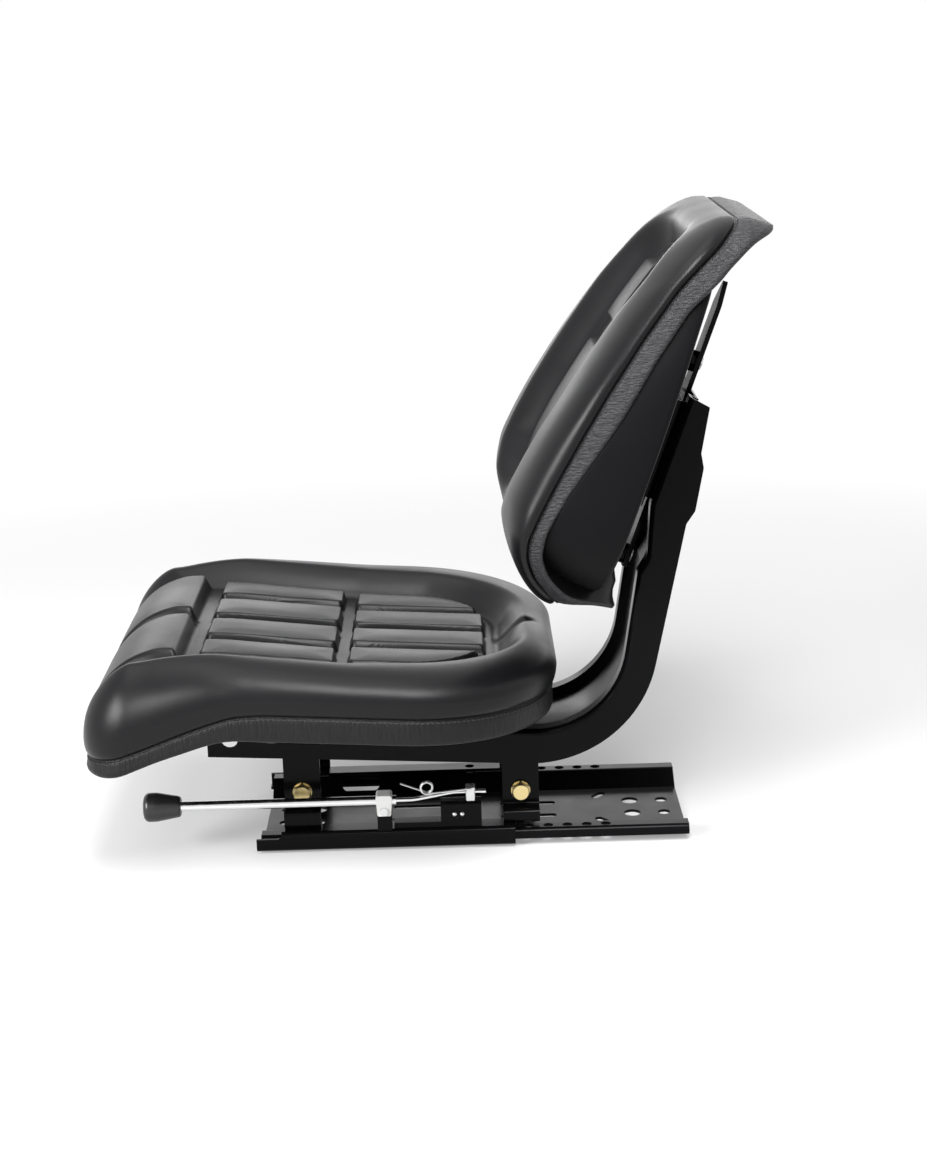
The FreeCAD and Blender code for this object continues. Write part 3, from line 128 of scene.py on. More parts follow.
def closed_mesh(name, rings, low_centre, high_centre):
    """Mesh of stacked closed rings (count x points x 3) with a fan to a centre point at each end."""
    count, around = rings.shape[:2]
    vertices = np.vstack([rings.reshape(-1, 3), low_centre[None], high_centre[None]])
    faces = []
    nxt = (np.arange(around) + 1) % around
    base = np.arange(around)
    for ring in range(count - 1):
        a = ring * around
        b = a + around
        faces += np.c_[a + base, a + nxt, b + nxt, b + base].tolist()
    low = count * around
    high = low + 1
    last = (count - 1) * around
    faces += np.c_[nxt, base, np.full(around, low)].tolist()
    faces += np.c_[last + base, last + nxt, np.full(around, high)].tolist()
    mesh = bpy.data.meshes.new(name)
    mesh.from_pydata((vertices * MM).tolist(), [], faces)
    mesh.validate()
    mesh.shade_smooth()
    made = bpy.data.objects.new(name, mesh)
    scene.collection.objects.link(made)
    return made


# Forms that the two cushions share, in millimetres
AROUND = 720
EDGE_TURNS = np.radians((25, 40, 55, 70, 90))
EDGE_INSET = 4.8
CREASE_DEPTH = 2.5
CREASE_WIDTH = 3.5
MIDDLE_SHARE = 0.012

# Hold in the cloth step: full up to some rings past the band, then at the rounded edge and on free tops
HELD_PAST_BAND = 3
HOLD_EDGE = 0.4
HOLD_TOP = 0.12


def side_rings(outline, pairs):
    """Rings at (inset, height) pairs along the outline."""
    normal = inward(outline)
    return [np.c_[outline + normal * inset, np.broadcast_to(height, len(outline))]
            for inset, height in pairs]


def edge_pairs(seam, rise, bulge):
    """Insets and heights from just over the seam to the cushion's widest line."""
    return [(EDGE_INSET * (1 - math.sin(turn)), seam + rise + (bulge - rise) * (1 - math.cos(turn)))
            for turn in EDGE_TURNS]


def sunken(crest, distance, depth, width):
    """Crest lowered inside a panel's edge, with a crease along the foot of its wall."""
    wall = smooth((distance + 3) / width)
    return crest - depth * (1 - wall) - CREASE_DEPTH * np.exp(-((distance + 1) / CREASE_WIDTH) ** 2)


def stuffed(edge, height, flank, dome, dome_flank):
    """Height of a stuffed pad at a signed distance from its edge: a flank and a slight dome."""
    return height * smooth(-edge / flank) + dome * smooth(-edge / dome_flank)


def ring_shares(outer_part, steps, inner_steps):
    """Shares that shrink the outline to its middle, close together near the rounded edge."""
    near = np.linspace(0, 1, steps)[1:]
    outer = 1 - outer_part * (1 - np.cos(near * math.pi / 2))
    return np.r_[outer, np.linspace(1 - outer_part, MIDDLE_SHARE, inner_steps)[1:]]


def with_top(rings, band, outline, centre, wide, shares, reach, power, surface):
    """Side rings followed by those of the top, and how firmly each point is held in the cloth step."""
    firm = band[1] + HELD_PAST_BAND
    hold = [np.full(len(outline), 1.0 if number < firm else HOLD_EDGE) for number in range(len(rings))]
    for share in shares:
        points = centre + (outline - centre) * share
        inner = np.clip(edge_distance(points, outline) / reach(points[:, 1]), 0, 1)
        rise = (1 - (1 - inner) ** power) ** (1 / power)
        top, held = surface(points[:, 0], points[:, 1])
        rings.append(np.c_[points, wide + (top - wide) * rise])
        hold.append(HOLD_TOP + (1 - HOLD_TOP) * held)
    return np.array(rings), np.array(hold)


# Places shared with the CAD part, in millimetres and degrees
SEAT_TILT = math.radians(3)
BACK_TILT = math.radians(20)
SEAT_FOOT = Vector((0, 0, 122.53))
BACK_FOOT = Vector((0, 140, 290))
SEAT_AXES = Matrix.Translation(SEAT_FOOT * MM) @ Matrix.Rotation(-SEAT_TILT, 4, "X")
BACK_AXES = Matrix.Translation(BACK_FOOT * MM) @ Matrix.Rotation(-BACK_TILT, 4, "X")

# Seat cushion: plan corners (x, y, radius), then heights and the panel's half width along y
SEAT_CORNERS = [(219, -383, 48), (231, 84, 150), (-231, 84, 150), (-219, -383, 48)]
SEAT_LOW = [(-390, -10), (-365, -11), (-343, -7), (-308, 9), (-277, 21), (-256, 29), (-236, 33.5), (90, 34)]
SEAT_SEAM = [(-390, 4), (-371, 5), (-346, 10), (-319, 21), (-286, 36), (-262, 46), (-234, 56), (-205, 59),
             (90, 59)]
SEAT_CREST = [(-390, 96), (-350, 104), (-310, 109), (-253, 110), (-190, 106), (-122, 102), (-40, 101),
              (90, 100)]
SEAT_PANEL = [(-390, 150), (-250, 149), (-130, 146), (-60, 140), (40, 134)]
SEAT_PANEL_HALF = 140
SEAT_PANEL_REAR = 25
SEAT_PANEL_CORNER = 92
SEAT_PANEL_DEPTH = 26
SEAT_WALL = 34
SEAT_MIDDLE = np.array((0.0, -130.0))
SEAT_UNDER = 34.6
SEAT_BULGE = 17
SEAT_SEAM_RISE = 1.6
SEAT_BAND = (3, 13)
PAST_FRONT = -700

# Ribs: rows of four as (front y, rear y, pitch), and a form of height, flank, dome and dome flank
SEAT_RIBS = [(-277, -139, 75), (-129, 40, 67)]
RIB_COUNT = 4
RIB_CORNER = 8
HALF_GROOVE = 6.5
RIB_WALL_GAP = 12
RIB_FORM = (11.5, 4.5, 0.8, 26)

# Two wide pads over the seat's front edge
FRONT_PAD_SIDES = (2.5, 154)
FRONT_PAD_REAR = -289
FRONT_PAD_CORNER = 12
FRONT_PAD_FORM = (17, 11, 1.5, 40)

# Fold pinched into the middle of the rear bolster
PINCH_DEPTH = 4.5
PINCH_WIDTH = 7


def seat_top(x, y):
    """Height of the seat's top before its edge is rounded, and how firmly its cover is held down there."""
    scale = SEAT_PANEL_HALF / np.interp(y, *zip(*SEAT_PANEL))
    panel = box_distance(x * scale, y, -SEAT_PANEL_HALF, SEAT_PANEL_HALF, PAST_FRONT, SEAT_PANEL_REAR,
                         SEAT_PANEL_CORNER)
    z = sunken(lookup(y, SEAT_CREST), panel, SEAT_PANEL_DEPTH, SEAT_WALL)
    raised = smooth((panel + 2) / 12)
    for first, last, pitch in SEAT_RIBS:
        half = pitch / 2 - HALF_GROOVE
        for number in range(RIB_COUNT):
            middle = (number - (RIB_COUNT - 1) / 2) * pitch
            cell = box_distance(x, y, middle - half, middle + half, first, last, RIB_CORNER)
            edge = np.maximum(cell, panel + RIB_WALL_GAP)
            z = z + stuffed(edge, *RIB_FORM)
            raised = np.maximum(raised, smooth(-edge / 8))
    for side in (-1, 1):
        inner, outer = sorted(side * place for place in FRONT_PAD_SIDES)
        cell = box_distance(x, y, inner, outer, PAST_FRONT, FRONT_PAD_REAR, FRONT_PAD_CORNER)
        edge = np.maximum(cell, panel + 1)
        z = z + stuffed(edge, *FRONT_PAD_FORM)
        raised = np.maximum(raised, smooth(-edge / 12))
    pinch = np.exp(-(x / PINCH_WIDTH) ** 2) * smooth((y - 18) / 14) * smooth((72 - y) / 26)
    return z - PINCH_DEPTH * pinch, np.clip(1.02 - raised, 0, 1)


def seat_reach(y):
    """How far in from the outline the seat's rounded edge reaches."""
    return 50 + 26 * smooth((-255 - y) / 80)


def seat_rings():
    """Closed rings of the seat cushion from its underside over the seam to the middle of its top."""
    outline = rounded_outline(SEAT_CORNERS, AROUND)
    low = lookup(outline[:, 1], SEAT_LOW)
    seam = lookup(outline[:, 1], SEAT_SEAM)
    under = SEAT_UNDER
    pairs = [(40, under), (15, under), (12, np.minimum(under, low + 9)), (9.5, low + 2), (7, low + 0.2),
             (5, low), (3.4, low + 1.2), (2.6, low + 4)]
    pairs += [(2.6 + 1.2 * share, low + 4 + (seam - low - 6.5) * share) for share in (0.25, 0.5, 0.75, 1)]
    pairs += [(4.6, seam - 1.4), (7.4, seam), (4.4, seam + SEAT_SEAM_RISE)]
    pairs += edge_pairs(seam, SEAT_SEAM_RISE, SEAT_BULGE)
    shares = ring_shares(0.3, 38, 85)
    rings, hold = with_top(side_rings(outline, pairs), SEAT_BAND, outline, SEAT_MIDDLE, seam + SEAT_BULGE,
                           shares, seat_reach, 2.15, seat_top)
    top = seat_top(*SEAT_MIDDLE[:, None])[0][0]
    return rings, hold, np.array((*SEAT_MIDDLE, under)), np.array((*SEAT_MIDDLE, top))


# Back cushion in its own axes: corners (x, up, radius), then depths forward of its foot along up
BACK_CORNERS = [(203, -42, 100), (206, 185, 420), (168, 371, 76), (-168, 371, 76), (-206, 185, 420),
                (-203, -42, 100)]
BACK_CREST = [(-40, 104), (0, 116), (32, 124), (60, 126.5), (92, 122.5), (124, 117), (157, 109.5),
              (190, 101.5), (222, 93), (253, 84.5), (282, 75), (311, 65), (345, 54), (372, 44)]
BACK_SEAM = [(-42, 40), (-25, 60), (-10, 78), (10, 92), (30, 97), (56, 95), (93, 90), (144, 81), (188, 72),
             (245, 57), (298, 40), (331, 24), (345, 16), (358, 10), (372, 2)]
BACK_BAND_REAR = [(-42, -22), (-33, 10), (-22, 42), (-5, 66), (15, 80), (40, 84), (56, 82), (89, 75),
                  (124, 65), (167, 53), (229, 40), (283, 25), (318, 6), (334, 0), (352, -12), (362, -22),
                  (371, -37)]
BACK_PANEL = [(40, 86), (160, 99)]
BACK_PANEL_HALF = 99
BACK_PANEL_ENDS = (42, 319)
BACK_PANEL_CORNER = 44
BACK_PANEL_DEPTH = 31
BACK_WALL = 42
BACK_MIDDLE = np.array((0.0, 150.0))
BACK_INSIDE = -60.0
BACK_BULGE = 6
BACK_SEAM_RISE = 1.4
BACK_BAND = (4, 13)
BACK_CURL_FROM = 250

# Two rows of two wide smooth pads as (lower end, upper end)
BACK_PADS = [(60, 205), (222, 302)]
BACK_PITCH = 91
BACK_HALF_GROOVE = 3
BACK_PAD_CORNER = 14
BACK_PAD_WALL_GAP = 7
BACK_PAD_FORM = (7, 8, 1.5, 30)

# How far the top lip and the lower wrap stand up from the outline
LIP_LIFT = 9
WRAP_LIFT = 12


def back_front(x, u):
    """How far the back's front stands forward before its edge is rounded, and how firmly it is held."""
    scale = BACK_PANEL_HALF / np.interp(u, *zip(*BACK_PANEL))
    panel = box_distance(x * scale, u, -BACK_PANEL_HALF, BACK_PANEL_HALF, *BACK_PANEL_ENDS,
                         BACK_PANEL_CORNER)
    z = sunken(lookup(u, BACK_CREST), panel, BACK_PANEL_DEPTH, BACK_WALL)
    raised = smooth((panel + 2) / 14)
    half = BACK_PITCH / 2 - BACK_HALF_GROOVE
    for first, last in BACK_PADS:
        for middle in (-BACK_PITCH / 2, BACK_PITCH / 2):
            cell = box_distance(x, u, middle - half, middle + half, first, last, BACK_PAD_CORNER)
            edge = np.maximum(cell, panel + BACK_PAD_WALL_GAP)
            z = z + stuffed(edge, *BACK_PAD_FORM)
            raised = np.maximum(raised, smooth(-edge / 10))
    return z, np.clip(1.02 - raised, 0, 1)


def back_reach(u):
    """How far in from the outline the back's rounded edge reaches."""
    return 68 + 12 * smooth((u - 250) / 70) + 30 * smooth((60 - u) / 70)


def back_rings():
    """Closed rings of the back cushion in the back's own axes, from its rear to the middle of its front."""
    outline = rounded_outline(BACK_CORNERS, AROUND)
    normal = inward(outline)
    low = lookup(outline[:, 1], BACK_BAND_REAR)
    seam = lookup(outline[:, 1], BACK_SEAM)
    pairs = []
    for inset, deeper in ((38, 7), (24, 7), (14, 5), (8, 2)):
        height = (outline + normal * inset)[:, 1]
        curled = np.where(height > BACK_CURL_FROM, lookup(height, BACK_BAND_REAR), low)
        pairs.append((inset, curled + deeper))
    pairs += [(5, low), (2.6, low + 1)]
    pairs += [(1.6 + 1.8 * share, low + 2 + (seam - low - 3.5) * share)
              for share in (0.12, 0.3, 0.5, 0.7, 0.86, 1)]
    pairs += [(4.4, seam - 1), (7, seam), (4.4, seam + BACK_SEAM_RISE)]
    pairs += edge_pairs(seam, BACK_SEAM_RISE, BACK_BULGE)
    shares = ring_shares(0.34, 38, 76)
    rings, hold = with_top(side_rings(outline, pairs), BACK_BAND, outline, BACK_MIDDLE, seam + BACK_BULGE,
                           shares, back_reach, 2.0, back_front)
    top = back_front(*BACK_MIDDLE[:, None])[0][0]
    rings = upright(rings)
    behind = rings[..., 1]
    up = rings[..., 2]
    lip = LIP_LIFT * smooth((behind + 15) / 25) * smooth((up - 330) / 40)
    wrap = WRAP_LIFT * smooth((behind + 45) / 50) * smooth((10 - up) / 45)
    rings[..., 2] = up + lip + wrap
    x, middle_up = BACK_MIDDLE
    return rings, hold, np.array((x, BACK_INSIDE, middle_up)), np.array((x, -top, middle_up))


def upright(rings):
    """Turn (x, up, forward) into (x, y to the rear, z up)."""
    return rings[..., [0, 2, 1]] * (1, -1, 1)


SHELL_CORNERS = [(201, -15, 92), (203, 185, 420), (166, 322, 40), (-166, 322, 40), (-203, 185, 420),
                 (-201, -15, 92)]
SHELL_REAR = 9.0
SHELL_AROUND = 320


def make_back_shell():
    """Smooth moulded shell behind the back cushion, with rounded rear edges."""
    outline = rounded_outline(SHELL_CORNERS, SHELL_AROUND)
    front = lookup(outline[:, 1], BACK_BAND_REAR) + 4
    rear = SHELL_REAR
    pairs = [(40, rear), (14, rear), (5, rear + 0.4), (2, rear + 1.6), (0.6, rear + 3.6), (0, rear + 6),
             (0, np.maximum(front - 6, rear + 7)), (2, np.maximum(front, rear + 9)),
             (24, np.maximum(front, rear + 9))]
    rings = upright(np.array(side_rings(outline, pairs)))
    rear_centre = np.array((0, -rear, BACK_MIDDLE[1]))
    front_centre = np.array((0, BACK_INSIDE, BACK_MIDDLE[1]))
    made = closed_mesh("BackShell", rings, rear_centre, front_centre)
    made.matrix_world = BACK_AXES
    return made


# Cloth step: every fifth point of the rings is blown up a little, and the result moves all of them
CLOTH_EVERY = 5
CLOTH_CAP = 1.6
CLOTH_PRESSURE = 4
CLOTH_FRAMES = 20


def cloth_shift(rings, hold, low_centre, high_centre):
    """Movement of the ring points when a coarser copy of the cushion is blown up as cloth."""
    coarse = rings[:, ::CLOTH_EVERY]
    count, points = coarse.shape[:2]
    pad = closed_mesh("cloth_pad", coarse, low_centre, high_centre)
    pins = pad.vertex_groups.new(name="pins")
    for number, weight in enumerate(hold[:, ::CLOTH_EVERY].ravel()):
        pins.add([number], float(weight), "ADD")
    pins.add([count * points, count * points + 1], 1.0, "ADD")
    cloth = pad.modifiers.new("Cloth", "CLOTH")
    cloth.settings.use_pressure = True
    cloth.settings.uniform_pressure_force = CLOTH_PRESSURE
    cloth.settings.quality = 4
    cloth.settings.tension_stiffness = 15
    cloth.settings.compression_stiffness = 15
    cloth.settings.bending_stiffness = 0.5
    cloth.settings.vertex_group_mass = "pins"
    cloth.settings.effector_weights.gravity = 0
    cloth.point_cache.frame_start = 1
    cloth.point_cache.frame_end = CLOTH_FRAMES
    for step in range(1, CLOTH_FRAMES + 1):
        scene.frame_set(step)
    blown = pad.evaluated_get(bpy.context.evaluated_depsgraph_get())
    places = np.empty(len(pad.data.vertices) * 3)
    blown.data.vertices.foreach_get("co", places)
    moved = places.reshape(-1, 3)[:count * points].reshape(count, points, 3) / MM - coarse
    scene.frame_set(1)
    bpy.data.objects.remove(pad)
    return finer(evened(moved), rings.shape[1])


def evened(moved):
    """Movement with its length capped and evened out among neighbours."""
    length = np.linalg.norm(moved, axis=2, keepdims=True)
    print("cloth moved up to", round(float(length.max()), 2), "mm, mean", round(float(length.mean()), 2))
    moved = moved * np.minimum(1, CLOTH_CAP / np.maximum(length, 1e-6))
    for _ in range(2):
        moved = (np.roll(moved, 1, 1) + 2 * moved + np.roll(moved, -1, 1)) / 4
        moved[1:-1] = (moved[:-2] + 2 * moved[1:-1] + moved[2:]) / 4
    return moved


def finer(moved, around):
    """Movement of the coarse rings' points, filled in for all points round each ring."""
    closed = np.concatenate([moved, moved[:, :1]], 1)
    fine = np.arange(around) / CLOTH_EVERY
    low = np.floor(fine).astype(int)
    part = (fine - low)[None, :, None]
    return closed[:, low] * (1 - part) + closed[:, low + 1] * part


def cushion(name, sections, band, axes, materials):
    """Cushion mesh with its cover, band and seam thread, placed in the seat."""
    rings, hold, low_centre, high_centre = sections()
    rings = rings + cloth_shift(rings, hold, low_centre, high_centre)
    made = closed_mesh(name, rings, low_centre, high_centre)
    for material in materials:
        made.data.materials.append(material)
    slots = np.zeros(len(made.data.polygons), dtype=np.int32)
    slots[band[0] * AROUND:band[1] * AROUND] = 1
    made.data.polygons.foreach_set("material_index", slots)
    sew(made, rings[band[1] - 2])
    made.matrix_world = axes
    return made


# Stitches: length, gap and half thickness in millimetres, with thinner ends
STITCH_LONG = 3.4
STITCH_GAP = 1.7
STITCH_THICK = 0.55
STITCH_PROUD = 0.25
STITCH_PROFILE = ((0, 0.45), (0.25, 1), (0.75, 1), (1, 0.45))
STITCH_SIDES = 6


def sew(made, line):
    """Small rounded stitches along a closed line, joined into the cushion's mesh."""
    closed = np.vstack([line, line[:1]])
    lengths = np.r_[0, np.cumsum(np.linalg.norm(np.diff(closed, axis=0), axis=1))]
    middle = line.mean(0)
    turns = np.linspace(0, 2 * math.pi, STITCH_SIDES, endpoint=False)
    vertices = []
    faces = []
    for place in np.arange(0, lengths[-1] - STITCH_LONG, STITCH_LONG + STITCH_GAP):
        stops = [place + share * STITCH_LONG for share, _ in STITCH_PROFILE]
        spine = np.array([np.interp(stops, lengths, closed[:, axis]) for axis in range(3)]).T
        along = unit(spine[-1] - spine[0])
        out = spine[1] - middle
        out = unit(out - along * (out @ along))
        side = np.cross(along, out)
        base = len(vertices)
        for point, (_, size) in zip(spine, STITCH_PROFILE):
            for turn in turns:
                spoke = math.cos(turn) * out + math.sin(turn) * side
                vertices.append(point + out * STITCH_PROUD + STITCH_THICK * size * spoke)
        for step in range(len(STITCH_PROFILE) - 1):
            for number in range(STITCH_SIDES):
                a = base + STITCH_SIDES * step + number
                b = base + STITCH_SIDES * step + (number + 1) % STITCH_SIDES
                faces.append((a, b, b + STITCH_SIDES, a + STITCH_SIDES))
        faces.append(tuple(range(base + STITCH_SIDES - 1, base - 1, -1)))
        faces.append(tuple(range(len(vertices) - STITCH_SIDES, len(vertices))))
    mesh = bpy.data.meshes.new("stitches")
    mesh.from_pydata((np.array(vertices) * MM).tolist(), [], faces)
    mesh.shade_smooth()
    for material in made.data.materials:
        mesh.materials.append(material)
    mesh.polygons.foreach_set("material_index", np.full(len(mesh.polygons), 2, dtype=np.int32))
    thread = bpy.data.objects.new("stitches", mesh)
    scene.collection.objects.link(thread)
    with bpy.context.temp_override(active_object=made, selected_editable_objects=[made, thread]):
        bpy.ops.object.join()


def settle(made):
    """Move an object's placement into its mesh."""
    made.data.transform(made.matrix_world)
    made.matrix_world = Matrix.Identity(4)


def shader(name, colour, roughness, metallic=0.0, coat=0.0, specular=0.5):
    """New material and its Principled shader."""
    made = bpy.data.materials.new(name)
    made.use_nodes = True
    node = made.node_tree.nodes["Principled BSDF"]
    node.inputs["Base Color"].default_value = (*colour, 1)
    node.inputs["Roughness"].default_value = roughness
    node.inputs["Metallic"].default_value = metallic
    node.inputs["Coat Weight"].default_value = coat
    node.inputs["Coat Roughness"].default_value = 0.08
    node.inputs["Specular IOR Level"].default_value = specular
    return made, node


def texture(made, kind, scale, **values):
    """Texture node fed by object coordinates."""
    tree = made.node_tree
    where = tree.nodes.new("ShaderNodeTexCoord")
    node = tree.nodes.new(kind)
    node.inputs["Scale"].default_value = scale
    for key, value in values.items():
        node.inputs[key].default_value = value
    tree.links.new(where.outputs["Object"], node.inputs["Vector"])
    return node


def bump(made, height, strength, distance, below=None):
    """Bump node on a height, feeding the shader or another bump."""
    tree = made.node_tree
    node = tree.nodes.new("ShaderNodeBump")
    node.inputs["Strength"].default_value = strength
    node.inputs["Distance"].default_value = distance
    tree.links.new(height, node.inputs["Height"])
    if below is not None:
        tree.links.new(below.outputs["Normal"], node.inputs["Normal"])
    return node


def ramp(made, source, low, high, first, last):
    """Map Range from low..high to first..last."""
    tree = made.node_tree
    node = tree.nodes.new("ShaderNodeMapRange")
    for key, value in zip(("From Min", "From Max", "To Min", "To Max"), (low, high, first, last)):
        node.inputs[key].default_value = value
    tree.links.new(source, node.inputs["Value"])
    return node


def mixed(made, factor, first, last):
    """Colour between two colours."""
    tree = made.node_tree
    node = tree.nodes.new("ShaderNodeMix")
    node.data_type = "RGBA"
    node.inputs["A"].default_value = (*first, 1)
    node.inputs["B"].default_value = (*last, 1)
    tree.links.new(factor, node.inputs["Factor"])
    return node


def vinyl(name, colour, roughness, grain, depth):
    """Vinyl cover: fine leather grain and slow variation of gloss."""
    made, node = shader(name, colour, roughness, specular=0.2)
    tree = made.node_tree
    cells = texture(made, "ShaderNodeTexVoronoi", grain)
    slow = texture(made, "ShaderNodeTexNoise", 9, Detail=3.0)
    fine = texture(made, "ShaderNodeTexNoise", grain * 1.7, Detail=2.0)
    first = bump(made, cells.outputs["Distance"], strength=0.35, distance=depth)
    second = bump(made, fine.outputs["Fac"], strength=0.25, distance=depth, below=first)
    tree.links.new(second.outputs["Normal"], node.inputs["Normal"])
    gloss = ramp(made, slow.outputs["Fac"], 0.35, 0.65, roughness - 0.04, roughness + 0.05)
    tree.links.new(gloss.outputs["Result"], node.inputs["Roughness"])
    tint = mixed(made, slow.outputs["Fac"], [0.85 * c for c in colour], [1.15 * c for c in colour])
    tree.links.new(tint.outputs["Result"], node.inputs["Base Color"])
    return made


def paint(name, colour, roughness, peel=0.00008):
    """Glossy paint on steel: orange peel and a little dust in the gloss."""
    made, node = shader(name, colour, roughness, coat=0.03, specular=0.06)
    tree = made.node_tree
    waves = texture(made, "ShaderNodeTexNoise", 260, Detail=1.0)
    dust = texture(made, "ShaderNodeTexNoise", 22, Detail=5.0)
    relief = bump(made, waves.outputs["Fac"], strength=0.3, distance=peel)
    tree.links.new(relief.outputs["Normal"], node.inputs["Normal"])
    gloss = ramp(made, dust.outputs["Fac"], 0.35, 0.7, roughness - 0.03, roughness + 0.08)
    tree.links.new(gloss.outputs["Result"], node.inputs["Roughness"])
    return made


def plated(name, first, last, roughness):
    """Plated metal with cloudy colour and small scratches."""
    made, node = shader(name, first, roughness, metallic=1.0)
    tree = made.node_tree
    clouds = texture(made, "ShaderNodeTexNoise", 140, Detail=4.0)
    tint = mixed(made, clouds.outputs["Fac"], first, last)
    tree.links.new(tint.outputs["Result"], node.inputs["Base Color"])
    gloss = ramp(made, clouds.outputs["Fac"], 0.3, 0.7, roughness - 0.06, roughness + 0.1)
    tree.links.new(gloss.outputs["Result"], node.inputs["Roughness"])
    fine = texture(made, "ShaderNodeTexNoise", 900, Detail=2.0)
    relief = bump(made, fine.outputs["Fac"], strength=0.2, distance=0.00005)
    tree.links.new(relief.outputs["Normal"], node.inputs["Normal"])
    return made


def moulded(name, colour, roughness, specular=0.5):
    """Moulded plastic: fine spark texture."""
    made, node = shader(name, colour, roughness, specular=specular)
    tree = made.node_tree
    fine = texture(made, "ShaderNodeTexNoise", 1400, Detail=2.0)
    relief = bump(made, fine.outputs["Fac"], strength=0.25, distance=0.00006)
    tree.links.new(relief.outputs["Normal"], node.inputs["Normal"])
    slow = texture(made, "ShaderNodeTexNoise", 14, Detail=3.0)
    gloss = ramp(made, slow.outputs["Fac"], 0.35, 0.65, roughness - 0.04, roughness + 0.05)
    tree.links.new(gloss.outputs["Result"], node.inputs["Roughness"])
    return made


def gathered(name, colour, roughness, stretch, depth):
    """Vinyl band with the fine puckers of a gathered seam, with painted shade in their hollows and painted
    highlight on their crests.
    """
    made, node = shader(name, colour, roughness, specular=0.24)
    tree = made.node_tree
    where = tree.nodes.new("ShaderNodeTexCoord")
    squeeze = tree.nodes.new("ShaderNodeMapping")
    squeeze.inputs["Scale"].default_value = stretch
    tree.links.new(where.outputs["Object"], squeeze.inputs["Vector"])
    folds = tree.nodes.new("ShaderNodeTexNoise")
    folds.inputs["Scale"].default_value = 1.0
    folds.inputs["Detail"].default_value = 2.5
    tree.links.new(squeeze.outputs["Vector"], folds.inputs["Vector"])
    grain = texture(made, "ShaderNodeTexVoronoi", 900)
    first = bump(made, folds.outputs["Fac"], strength=0.9, distance=depth)
    second = bump(made, grain.outputs["Distance"], strength=0.3, distance=0.00012, below=first)
    tree.links.new(second.outputs["Normal"], node.inputs["Normal"])
    # Colour follows the fold height: painted shade in the pucker hollows, painted highlight on their crests
    tint = mixed(made, folds.outputs["Fac"], [0.1 * c for c in colour], [1.9 * c for c in colour])
    tree.links.new(tint.outputs["Result"], node.inputs["Base Color"])
    return made


# Materials, with linear colours, and the one for each slot of the record
cover = vinyl("cover_vinyl", (0.0045, 0.0045, 0.0052), 0.34, 1100, 0.00012)
skirt = gathered("skirt_vinyl", (0.0045, 0.0045, 0.005), 0.45, (420, 420, 60), 0.0010)
back_band = gathered("band_vinyl", (0.030, 0.030, 0.032), 0.42, (160, 160, 620), 0.0026)
thread = moulded("thread", (0.022, 0.022, 0.023), 0.5, 0.3)
MATERIALS = {
    "black_paint": paint("black_paint", (0.0025, 0.0025, 0.003), 0.2),
    "cushion_cover": cover,
    "shell_plastic": moulded("shell_plastic", (0.004, 0.004, 0.0047), 0.5, 0.08),
    "yellow_zinc": plated("yellow_zinc", (0.62, 0.47, 0.2), (0.72, 0.62, 0.34), 0.34),
    "bright_zinc": plated("bright_zinc", (0.55, 0.56, 0.57), (0.68, 0.68, 0.67), 0.3),
    "chromed_rod": plated("chromed_rod", (0.72, 0.72, 0.73), (0.8, 0.8, 0.8), 0.16),
    "knob_plastic": moulded("knob_plastic", (0.012, 0.012, 0.012), 0.34),
    "white_plastic": moulded("white_plastic", (0.72, 0.72, 0.70), 0.4),
    "glide_plastic": moulded("glide_plastic", (0.05, 0.05, 0.05), 0.5),
}

for row in frame["record"]["subparts"]:
    found = nodes[row["node"]]
    found.data.materials.clear()
    found.data.materials.append(MATERIALS[row["material_slot"]])

seat = cushion("SeatCushion", seat_rings, SEAT_BAND, SEAT_AXES, (cover, skirt, thread))
settle(seat)
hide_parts("seat_cushion")
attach(seat, "carriage")

back = cushion("BackCushion", back_rings, BACK_BAND, BACK_AXES, (cover, back_band, thread))
settle(back)
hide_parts("back_cushion")
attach(back, "back")

shell = make_back_shell()
settle(shell)
shell.data.materials.append(MATERIALS["shell_plastic"])
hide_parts("back_shell")
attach(shell, "back")


def seen_directly(tree):
    """1 for rays from the camera, reflections and transmission, 0 for the rest."""
    path = tree.nodes.new("ShaderNodeLightPath")
    first = tree.nodes.new("ShaderNodeMath")
    last = tree.nodes.new("ShaderNodeMath")
    last.use_clamp = True
    tree.links.new(path.outputs["Is Camera Ray"], first.inputs[0])
    tree.links.new(path.outputs["Is Glossy Ray"], first.inputs[1])
    tree.links.new(first.outputs[0], last.inputs[0])
    tree.links.new(path.outputs["Is Transmission Ray"], last.inputs[1])
    return last.outputs[0]


# Floor: half size and fade distances in metres, glow and albedo under the seat
FLOOR_HALF = 30
FADE = (0.9, 1.7)
FLOOR_GLOW = 0.28
FLOOR_ALBEDO = 0.62


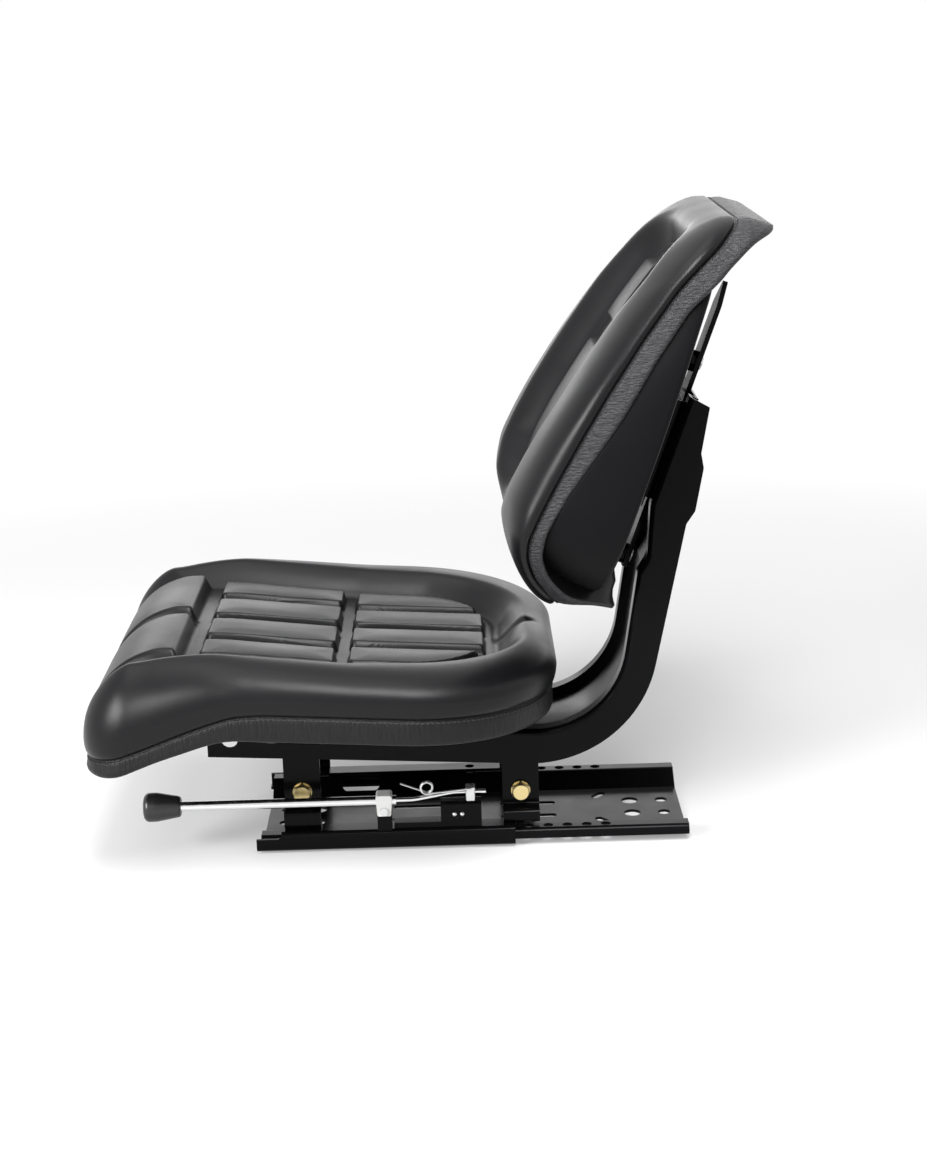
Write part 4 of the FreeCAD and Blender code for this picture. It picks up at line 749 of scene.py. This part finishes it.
def make_floor():
    """White floor that keeps the seat's shadow and turns into plain white further away."""
    mesh = bpy.data.meshes.new("Floor")
    corners = [(x * FLOOR_HALF, y * FLOOR_HALF, 0) for x, y in ((-1, -1), (1, -1), (1, 1), (-1, 1))]
    mesh.from_pydata(corners, [], [(0, 1, 2, 3)])
    made = bpy.data.objects.new("Floor", mesh)
    scene.collection.objects.link(made)
    material = bpy.data.materials.new("floor")
    material.use_nodes = True
    tree = material.node_tree
    tree.nodes.remove(tree.nodes["Principled BSDF"])
    lit = tree.nodes.new("ShaderNodeBsdfDiffuse")
    glow = tree.nodes.new("ShaderNodeEmission")
    both = tree.nodes.new("ShaderNodeAddShader")
    where = tree.nodes.new("ShaderNodeTexCoord")
    away = tree.nodes.new("ShaderNodeVectorMath")
    away.operation = "LENGTH"
    tree.links.new(where.outputs["Object"], away.inputs[0])
    fade = ramp(material, away.outputs["Value"], *FADE, FLOOR_GLOW, 1.0)
    albedo = ramp(material, away.outputs["Value"], *FADE, FLOOR_ALBEDO, 0.0)
    tree.links.new(albedo.outputs["Result"], lit.inputs["Color"])
    strength = tree.nodes.new("ShaderNodeMath")
    strength.operation = "MULTIPLY"
    tree.links.new(fade.outputs["Result"], strength.inputs[0])
    tree.links.new(seen_directly(tree), strength.inputs[1])
    tree.links.new(strength.outputs[0], glow.inputs["Strength"])
    tree.links.new(lit.outputs[0], both.inputs[0])
    tree.links.new(glow.outputs[0], both.inputs[1])
    tree.links.new(both.outputs[0], tree.nodes["Material Output"].inputs["Surface"])
    made.data.materials.append(material)


def lamp(name, place, aim, size, watts):
    """Area light aimed at a point."""
    data = bpy.data.lights.new(name, "AREA")
    data.shape = "RECTANGLE"
    data.size, data.size_y = size
    data.energy = watts
    made = bpy.data.objects.new(name, data)
    scene.collection.objects.link(made)
    made.location = place
    made.rotation_mode = "QUATERNION"
    made.rotation_quaternion = (Vector(aim) - Vector(place)).to_track_quat("-Z", "Y")


# Lamps: name, place and aim in metres, size in metres, watts
LAMPS = [
    ("Key", (1.8, -2.0, 1.25), (0, 0.1, 0.35), (1.2, 1.2), 95),
    ("Top", (1.2, 0.1, 1.95), (0, -0.05, 0.2), (0.8, 1.1), 55),
    ("Above", (0.0, -0.6, 2.6), (0, -0.1, 0.1), (1.6, 1.6), 16),
    ("Behind", (-2.6, -0.1, 0.85), (0, 0, 0.25), (2.6, 0.5), 9),
]
WORLD_UNSEEN = 0.2

# Camera fitted to the photo: focal length and long side in pixels, then metres and degrees
FOCAL_PIXELS = 2100
PHOTO_LONG_SIDE = 1152
SENSOR_MM = 36
CAMERA_TARGET = Vector((0, -0.0044, 0.2664))
CAMERA_DISTANCE = 2.2
CAMERA_ELEVATION = math.radians(15.3)
CAMERA_ROLL = math.radians(-1.7)

make_floor()
for row in LAMPS:
    lamp(*row)

world = bpy.data.worlds.new("World")
scene.world = world
world.use_nodes = True
sky = world.node_tree
sky.nodes["Background"].inputs["Color"].default_value = (1, 1, 1, 1)
level = sky.nodes.new("ShaderNodeMapRange")
level.inputs["To Min"].default_value = WORLD_UNSEEN
sky.links.new(seen_directly(sky), level.inputs["Value"])
sky.links.new(level.outputs["Result"], sky.nodes["Background"].inputs["Strength"])

camera_data = bpy.data.cameras.new("Camera")
camera_data.lens = FOCAL_PIXELS / PHOTO_LONG_SIDE * SENSOR_MM
camera_data.sensor_width = SENSOR_MM
camera_data.clip_end = 60
camera = bpy.data.objects.new("Camera", camera_data)
scene.collection.objects.link(camera)
outward = Vector((math.cos(CAMERA_ELEVATION), 0, math.sin(CAMERA_ELEVATION)))
camera.location = CAMERA_TARGET + outward * CAMERA_DISTANCE
camera.rotation_mode = "QUATERNION"
level_view = (-outward).to_track_quat("-Z", "Y")
camera.rotation_quaternion = level_view @ Quaternion((0, 0, 1), CAMERA_ROLL)
scene.camera = camera
scene.view_settings.view_transform = "Standard"
